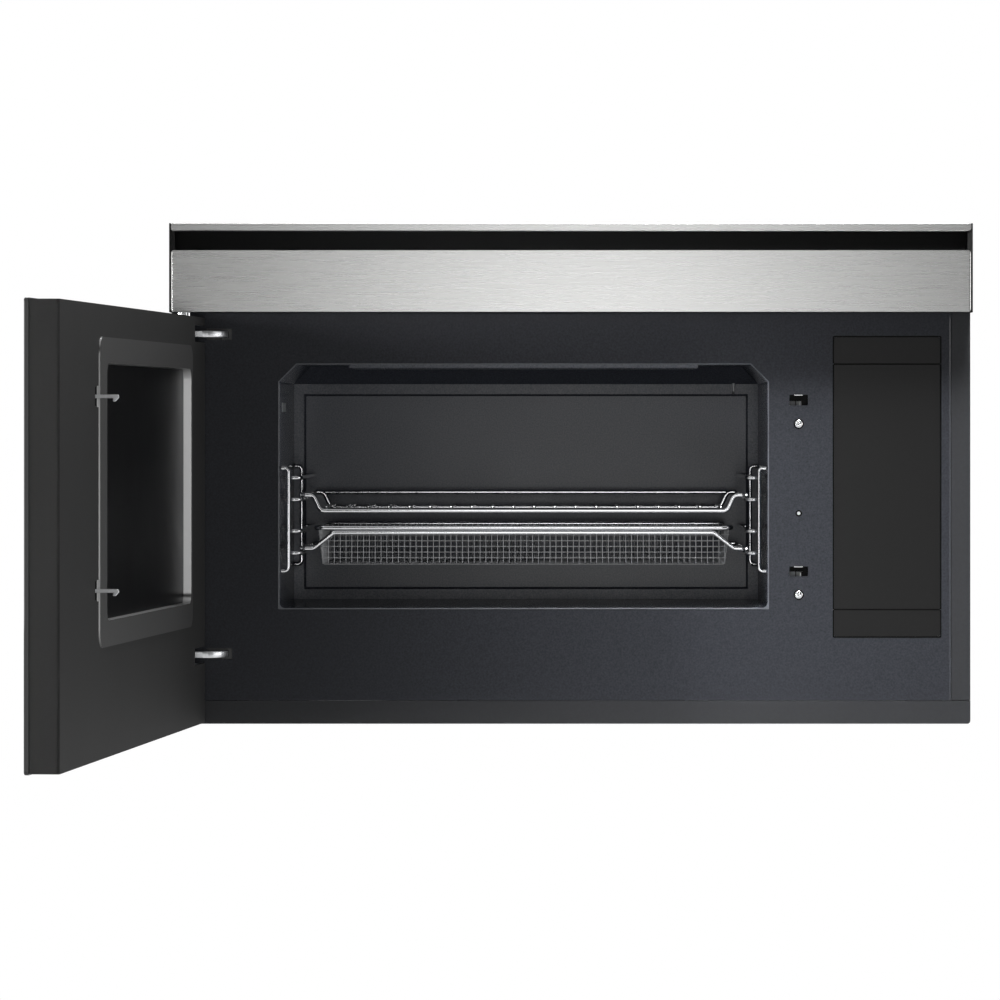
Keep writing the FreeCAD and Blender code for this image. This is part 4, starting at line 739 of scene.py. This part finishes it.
rim = new_wires("basket_rim", RACK_R)
bend_wire(rim, [(RIM_X[0], RACK_Y[0], RIM_Z), (RIM_X[1], RACK_Y[0], RIM_Z),
                (RIM_X[1], RACK_Y[1], RIM_Z), (RIM_X[0], RACK_Y[1], RIM_Z)], RIM_BEND, closed=True)
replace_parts(plate_wires(rim, "basket", chrome), "fry_basket")
basket = new_wires("basket_mesh", MESH_R)
basket.bevel_resolution = 1
basket.resolution_u = 3
across = int((BASE_X[1] - BASE_X[0]) / MESH_PITCH)
for number in range(across + 1):
    x = BASE_X[0] + (BASE_X[1] - BASE_X[0]) * number / across
    bend_wire(basket, [(x, WALL_Y[0], RIM_Z), (x, WALL_Y[0], BASE_Z),
                       (x, WALL_Y[1], BASE_Z), (x, WALL_Y[1], RIM_Z)], MESH_BEND)
along = int((WALL_Y[1] - WALL_Y[0]) / MESH_PITCH)
for number in range(1, along):
    y = WALL_Y[0] + (WALL_Y[1] - WALL_Y[0]) * number / along
    low = BASE_Z - 2 * MESH_R
    bend_wire(basket, [(TOP_X[0], y, RIM_Z), (BASE_X[0], y, low),
                       (BASE_X[1], y, low), (TOP_X[1], y, RIM_Z)], MESH_BEND)
for number in range(1, HOOPS + 1):
    z = BASE_Z + number * MESH_PITCH
    share = (z - BASE_Z) / (RIM_Z - BASE_Z)
    left = BASE_X[0] + (TOP_X[0] - BASE_X[0]) * share - 2 * MESH_R
    right = BASE_X[1] + (TOP_X[1] - BASE_X[1]) * share + 2 * MESH_R
    bend_wire(basket, [(left, WALL_Y[0], z), (right, WALL_Y[0], z),
                       (right, WALL_Y[1], z), (left, WALL_Y[1], z)], HOOP_BEND, closed=True)
plate_wires(basket, "basket", dull_nickel)


# Hinge arms and latch bar. The arms are stamped goose-neck plates that reach round the panel's edge
# and carry the door's pins; the bar's two hooks stand out through the door's inner face. They are
# plated with satin zinc; the arms' feet, screwed on behind the panel, are drawn near-black and not
# metal, as painted shade for the dark inside the panel's slots.

arm_zinc, place = new_material("zinc_plate_with_painted_shade_foot")
axis = add(arm_zinc, "ShaderNodeSeparateXYZ", {"Vector": place})
bloom = add(arm_zinc, "ShaderNodeTexNoise", {"Vector": place, "Scale": 1000 / 6, "Detail": 3})
front_of_panel = add(arm_zinc, "ShaderNodeMath", {0: axis.outputs["Y"], 1: PANEL_Y + 0.0005}, operation="LESS_THAN")
tone = add(arm_zinc, "ShaderNodeMixRGB", {
    "Fac": bloom, "Color1": linear("#c4c6c8"), "Color2": linear("#dedfe0")})
# Painted shade: behind the panel's face the arms turn near-black and lose their metal.
colour = add(arm_zinc, "ShaderNodeMixRGB", {"Fac": front_of_panel, "Color1": linear("#060606"), "Color2": tone})
polish = add(arm_zinc, "ShaderNodeMapRange", {"Value": bloom, "To Min": 0.34, "To Max": 0.46})
plating = add(arm_zinc, "ShaderNodeBsdfPrincipled", {
    "Base Color": colour, "Metallic": front_of_panel, "Roughness": polish})
add(arm_zinc, "ShaderNodeOutputMaterial", {"Surface": plating})
dress(arm_zinc, "hinge_arm_lower", "hinge_arm_upper", "latch_bar")
soften(0.0005, "hinge_arm_lower", "hinge_arm_upper", "latch_bar")


# Hinge pins, pivot plate and latch spring. Turned, stamped and coiled steel, plated with bright zinc.
# The pins and the spring sit inside the door; the plate holds the upper arm.

dress(bright_zinc, "hinge_pins", "latch_spring", "pivot_plate")


# Trim above the door. Two strips of stainless steel, brushed along their length, are clipped to a black
# carrier whose slot lets the exhaust air out between them. The lower one's ends are folded back.

STREAK_LENGTH = 60
STREAK_WIDTH = 0.6
FASCIA_X = 0.3779
FASCIA_Z = (0.3906, 0.4491)
FASCIA_Y = -0.4010
FASCIA_THICK = 0.0022
FASCIA_CORNER = 0.0030
FOLD_R = 0.0018
FOLD_LONG = 0.15
# Back from the front and in from the end, as shares of the fold's radius, along its arc.
FOLD_ARC = ((1.0, 0.0), (0.62, 0.08), (0.29, 0.29), (0.08, 0.62), (0.0, 1.0), (0.0, 1.2))

brushed, place = new_material("brushed_stainless_steel")
# Real brush lines are near 0.1 mm and are drawn at 0.6 mm so that they show.
stretch = add(brushed, "ShaderNodeMapping", {
    "Vector": place, "Scale": (1000 / STREAK_LENGTH, 1000 / STREAK_WIDTH, 1000 / STREAK_WIDTH)})
streak = add(brushed, "ShaderNodeTexNoise", {"Vector": stretch, "Scale": 1.0, "Detail": 3})
tone = add(brushed, "ShaderNodeMixRGB", {
    "Fac": streak, "Color1": linear("#989897"), "Color2": linear("#a8a8a7")})
grain = add(brushed, "ShaderNodeMapRange", {"Value": streak, "To Min": 0.24, "To Max": 0.32})
relief = add(brushed, "ShaderNodeBump", {"Height": streak, "Strength": 0.02, "Distance": 0.0002})
round_z = add(brushed, "ShaderNodeTangent", {}, direction_type="RADIAL", axis="Z")
steel = add(brushed, "ShaderNodeBsdfPrincipled", {
    "Base Color": tone, "Metallic": 1.0, "Roughness": grain,
    "Normal": relief, "Tangent": round_z, "Anisotropic": 0.35,
    "Anisotropic Rotation": 0.25})
add(brushed, "ShaderNodeOutputMaterial", {"Surface": steel})
dress(brushed, "trim_top_strip")
soften(0.0006, "trim_top_strip")
fold_loops = []
for back, inset in [(FASCIA_THICK, 0.0)] + [(FOLD_R * deep, FOLD_R * wide) for deep, wide in FOLD_ARC]:
    fold_loops.append(rounded_loop(
        inset - FASCIA_X, FASCIA_X - inset, FASCIA_Z[0] + inset * FOLD_LONG, FASCIA_Z[1] - inset * FOLD_LONG,
        FASCIA_CORNER - inset, FASCIA_Y + back))
fascia = ring_piece("trim_fascia_folded", fold_loops, brushed, "chassis", capped=True)
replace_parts(fascia, "trim_fascia")

carrier_abs = mottled("black_moulded_abs", 1.0, ("#191919", "#212121"), (0.65, 0.8),
                      {"IOR": 1.53, "Specular IOR Level": 0.2})
dress(carrier_abs, "trim_carrier")


# Vent shade sheet. A thin black sheet of matt felt stands across the slot in front of the carrier's
# vanes; it is painted shade, standing for the dark inside the slot. Its nap is matt and even.

SHADE_SHEET_X = 0.3735
SHADE_SHEET_Z = (0.4494, 0.4668)
SHADE_SHEET_Y = (-0.3914, -0.3904)

# Fibres are near 0.03 mm and are drawn at 1.5 mm so that they show.
slot_shade_felt = mottled("black_felt_painted_shade", 1.5, ("#151515", "#1d1d1d"), 1.0,
               {"Specular IOR Level": 0.1}, detail=3)
low, high = SHADE_SHEET_Z
outline = [(-SHADE_SHEET_X, low), (SHADE_SHEET_X, low), (SHADE_SHEET_X, high), (-SHADE_SHEET_X, high)]
# Painted shade: a near-black sheet spans the vent slot.
ring_piece("vent_shade_sheet", [[(x, y, z) for x, z in outline] for y in SHADE_SHEET_Y],
           slot_shade_felt, "chassis", capped=True)


# Grease filters. Two flat frames of rolled aluminium with a knitted mesh pad, held in the base
# by a spring edge, so that they drop out for washing.

mesh_pad, place = new_material("rolled_aluminium_mesh")
weave = add(mesh_pad, "ShaderNodeTexVoronoi", {"Vector": place, "Scale": 1000 / 3})
tone = add(mesh_pad, "ShaderNodeMixRGB", {
    "Fac": weave, "Color1": linear("#c4c7c9"), "Color2": linear("#8f9396")})
relief = add(mesh_pad, "ShaderNodeBump", {"Height": weave, "Strength": 0.4, "Distance": 0.0005})
wire = add(mesh_pad, "ShaderNodeBsdfPrincipled", {
    "Base Color": tone, "Metallic": 1.0, "Roughness": 0.38, "Normal": relief})
add(mesh_pad, "ShaderNodeOutputMaterial", {"Surface": wire})
dress(mesh_pad, "grease_filter_left", "grease_filter_right")


# Door glass and window. The outer pane is toughened glass, printed black on its inner face. The
# window is a dark tinted pane, etched against glare, over a black steel screen with punched holes.

black_glass = mottled("black_printed_glass", 120, ("#060607", "#0b0b0c"), (0.03, 0.08), {"IOR": 1.52})
dress(black_glass, "door_glass")

tinted, place = new_material("tinted_window_glass")
smear = add(tinted, "ShaderNodeTexNoise", {"Vector": place, "Scale": 1000 / 80, "Detail": 2})
wiped = add(tinted, "ShaderNodeMapRange", {"Value": smear, "To Min": 0.34, "To Max": 0.42})
pane = add(tinted, "ShaderNodeBsdfPrincipled", {
    "Base Color": linear("#070708"), "Roughness": wiped, "IOR": 1.5,
    "Specular IOR Level": 0.03, "Transmission Weight": 0.3})
add(tinted, "ShaderNodeOutputMaterial", {"Surface": pane})
dress(tinted, "window_pane")

screen, place = new_material("black_punched_screen")
axis = add(screen, "ShaderNodeSeparateXYZ", {"Vector": place})
face = add(screen, "ShaderNodeCombineXYZ", {"X": axis.outputs["Y"], "Y": axis.outputs["Z"]})
# The holes are 1.5 mm on a pitch of 2.4 mm.
dots = add(screen, "ShaderNodeTexVoronoi", {
    "Vector": face, "Scale": 1000 / 2.4, "Randomness": 0.0}, voronoi_dimensions="2D")
hole = add(screen, "ShaderNodeMath", {0: dots, 1: 0.31}, operation="LESS_THAN")
tone = add(screen, "ShaderNodeMixRGB", {
    "Fac": hole, "Color1": linear("#151515"), "Color2": linear("#010101")})
punched = add(screen, "ShaderNodeBsdfPrincipled", {"Base Color": tone, "Roughness": 0.5})
add(screen, "ShaderNodeOutputMaterial", {"Surface": punched})
dress(screen, "window_screen")


# Keypad. Plain digits are printed in grey on the door's front glass, over the touch board. They
# are drawn on the closed door and turned with it to where it stands open.

KEY_X = 0.2960
KEY_Z = 0.2300
KEY_PITCH = (0.0300, 0.0340)
DIGIT_HEIGHT = 0.0090
DIGIT_SHARE = 0.7
INK_Y = -0.40002

print_ink = mottled("grey_screen_print", 0.5, ("#9a9b9c", "#b4b5b6"), 0.35, {}, detail=1)

for number, digit in enumerate("1234567890"):
    row, column = divmod(number, 3)
    if digit == "0":
        column = 1
    text = bpy.data.curves.new("key_digit_" + digit, "FONT")
    text.body = digit
    text.size = DIGIT_HEIGHT / DIGIT_SHARE
    text.align_x = "CENTER"
    text.align_y = "CENTER"
    text.materials.append(print_ink)
    key = bpy.data.objects.new("key_digit_" + digit, text)
    bpy.context.collection.objects.link(key)
    spot = Vector((KEY_X + (column - 1) * KEY_PITCH[0], INK_Y, KEY_Z - row * KEY_PITCH[1]))
    key.matrix_world = swing @ Matrix.Translation(spot) @ Matrix.Rotation(math.radians(90), 4, "X")
    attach(key, "door")


# Studio. A pale floor well below the wall-hung oven, soft lamps in front, at the sides and behind, and
# a white surround. The camera stands level in front, as far off as the photograph's.

FLOOR_Z = -0.50
FADE_FROM, FADE_TO = 0.9, 1.7
FLOOR_WHITE = 0.72
AMBIENT = 0.12
CAMERA_AT = (0, -5.36, 0.282)
SENSOR_MM, LENS_MM = 36, 189.1
SHIFT = (-0.071, -0.073)


def seen_directly(material):
    """1 for a camera, glossy or transmission ray, and 0 for all others."""
    ray = add(material, "ShaderNodeLightPath", {})
    seen = ray.outputs["Is Camera Ray"]
    for kind in ("Is Glossy Ray", "Is Transmission Ray"):
        seen = add(material, "ShaderNodeMath", {0: seen, 1: ray.outputs[kind]}, operation="MAXIMUM")
    return seen


def stage_sheet(name, corners, finish):
    """A flat sheet of the studio, given by its four corners."""
    mesh = bpy.data.meshes.new(name)
    mesh.from_pydata(corners, [], [(0, 1, 2, 3)])
    mesh.materials.append(finish)
    sheet = bpy.data.objects.new(name, mesh)
    bpy.context.collection.objects.link(sheet)
    return sheet


floor_paint, place = new_material("pale_studio_floor")
seen = seen_directly(floor_paint)
away = add(floor_paint, "ShaderNodeVectorMath", {0: place}, operation="LENGTH")
fade = add(floor_paint, "ShaderNodeMapRange", {
    "Value": away.outputs["Value"], "From Min": FADE_FROM, "From Max": FADE_TO})
bare = add(floor_paint, "ShaderNodeMath", {0: fade, 1: seen}, operation="MULTIPLY")
matt = add(floor_paint, "ShaderNodeBsdfPrincipled", {"Base Color": linear("#f2f2f2"), "Roughness": 0.8})
glow = add(floor_paint, "ShaderNodeMath", {0: seen, 1: FLOOR_WHITE}, operation="MULTIPLY")
pale = add(floor_paint, "ShaderNodeEmission", {"Color": (1, 1, 1, 1), "Strength": glow})
near = add(floor_paint, "ShaderNodeAddShader", {0: matt, 1: pale})
white = add(floor_paint, "ShaderNodeEmission", {"Color": (1, 1, 1, 1), "Strength": 1.0})
blend = add(floor_paint, "ShaderNodeMixShader", {"Fac": bare, 1: near, 2: white})
add(floor_paint, "ShaderNodeOutputMaterial", {"Surface": blend})
floor = stage_sheet("floor", [(-6, -6, 0), (6, -6, 0), (6, 6, 0), (-6, 6, 0)], floor_paint)
floor.location.z = FLOOR_Z

# A black cloth behind the camera gives glossy surfaces something dark to mirror.
wall_cloth = mottled("black_studio_cloth", 250, ("#0a0a0a", "#141414"), 1.0, {})
dark_wall = stage_sheet(
    "dark_studio_wall", [(-1.7, -7, -0.5), (9, -7, -0.5), (9, -7, 9), (-1.7, -7, 9)], wall_cloth)
dark_wall.visible_camera = False
dark_wall.visible_shadow = False

# The boxes and the rear and roof fills are flagged off the floor, so that it shows one soft shadow only,
# and off the plated wires, which would glare.
flags = bpy.data.collections.new("kept_off_the_floor_and_wires")
for name in ("floor", "ladder_left_wires", "ladder_right_wires", "upper_rack_wires", "lower_rack_wires",
             "upper_rack_cross_wires", "basket_rim", "basket_mesh"):
    flags.objects.link(bpy.data.objects[name])
for member in flags.collection_objects:
    member.light_linking.link_state = "EXCLUDE"
for name, spot, aim, width, height, watts, spread, flagged in (
        ("front_strip", (0.02, -5.7, 0.28), (0.0, -0.4, 0.28), 0.75, 1.3, 15.6, 180, False),
        ("low_strip", (0.14, -5.6, -0.08), (0.0, -0.4, 0.12), 0.6, 0.4, 4.8, 180, False),
        ("side_fill", (2.4, -1.3, 0.40), (-0.35, -0.7, 0.22), 1.2, 1.2, 7.8, 180, False),
        ("left_strip", (-1.73, -5.9, 0.30), (-0.38, -0.7, 0.25), 0.4, 1.4, 0.6, 180, False),
        ("gridded_top_box", (0.46, -0.86, 1.40), (0.46, -0.37, 0.18), 1.0, 0.5, 4.6, 24, True),
        ("gridded_edge_box", (-1.5, -2.6, 0.25), (-0.52, -1.12, 0.20), 0.20, 0.8, 0.7, 14, True),
        ("left_edge_box", (-3.0, -0.42, 0.42), (-0.38, -0.40, 0.42), 0.8, 0.8, 4.5, 120, True),
        ("right_edge_box", (3.0, -0.50, 0.32), (0.37, -0.38, 0.30), 0.8, 0.9, 5.0, 120, True),
        ("rear_right_fill", (2.2, 2.8, 0.55), (0.0, -0.1, 0.25), 1.0, 0.6, 22, 100, True),
        ("rear_left_fill", (-2.4, 2.6, 0.55), (0.0, -0.1, 0.25), 1.0, 0.6, 16, 100, True),
        ("roof_fill", (0.0, 0.30, 2.4), (0.0, -0.16, 0.47), 0.9, 0.5, 6, 60, True)):
    lamp = bpy.data.lights.new(name, "AREA")
    lamp.shape = "RECTANGLE"
    lamp.size = width
    lamp.size_y = height
    lamp.energy = watts
    lamp.spread = math.radians(spread)
    light = bpy.data.objects.new(name, lamp)
    light.location = spot
    light.rotation_euler = (Vector(aim) - Vector(spot)).to_track_quat("-Z", "Y").to_euler()
    bpy.context.collection.objects.link(light)
    if flagged:
        light.light_linking.receiver_collection = flags

world = bpy.data.worlds.new("white_surround")
world.use_nodes = True
world.node_tree.nodes.clear()
level = add(world, "ShaderNodeMapRange", {"Value": seen_directly(world), "To Min": AMBIENT, "To Max": 1.0})
sky = add(world, "ShaderNodeBackground", {"Color": (1, 1, 1, 1), "Strength": level})
add(world, "ShaderNodeOutputWorld", {"Surface": sky})
bpy.context.scene.world = world

camera_data = bpy.data.cameras.new("camera")
camera_data.sensor_width = SENSOR_MM
camera_data.lens = LENS_MM
camera_data.shift_x, camera_data.shift_y = SHIFT
camera_data.clip_end = 50
camera = bpy.data.objects.new("camera", camera_data)
camera.location = CAMERA_AT
camera.rotation_euler = (math.radians(90), 0, 0)
bpy.context.collection.objects.link(camera)
bpy.context.scene.camera = camera
bpy.context.scene.view_settings.view_transform = "Standard"
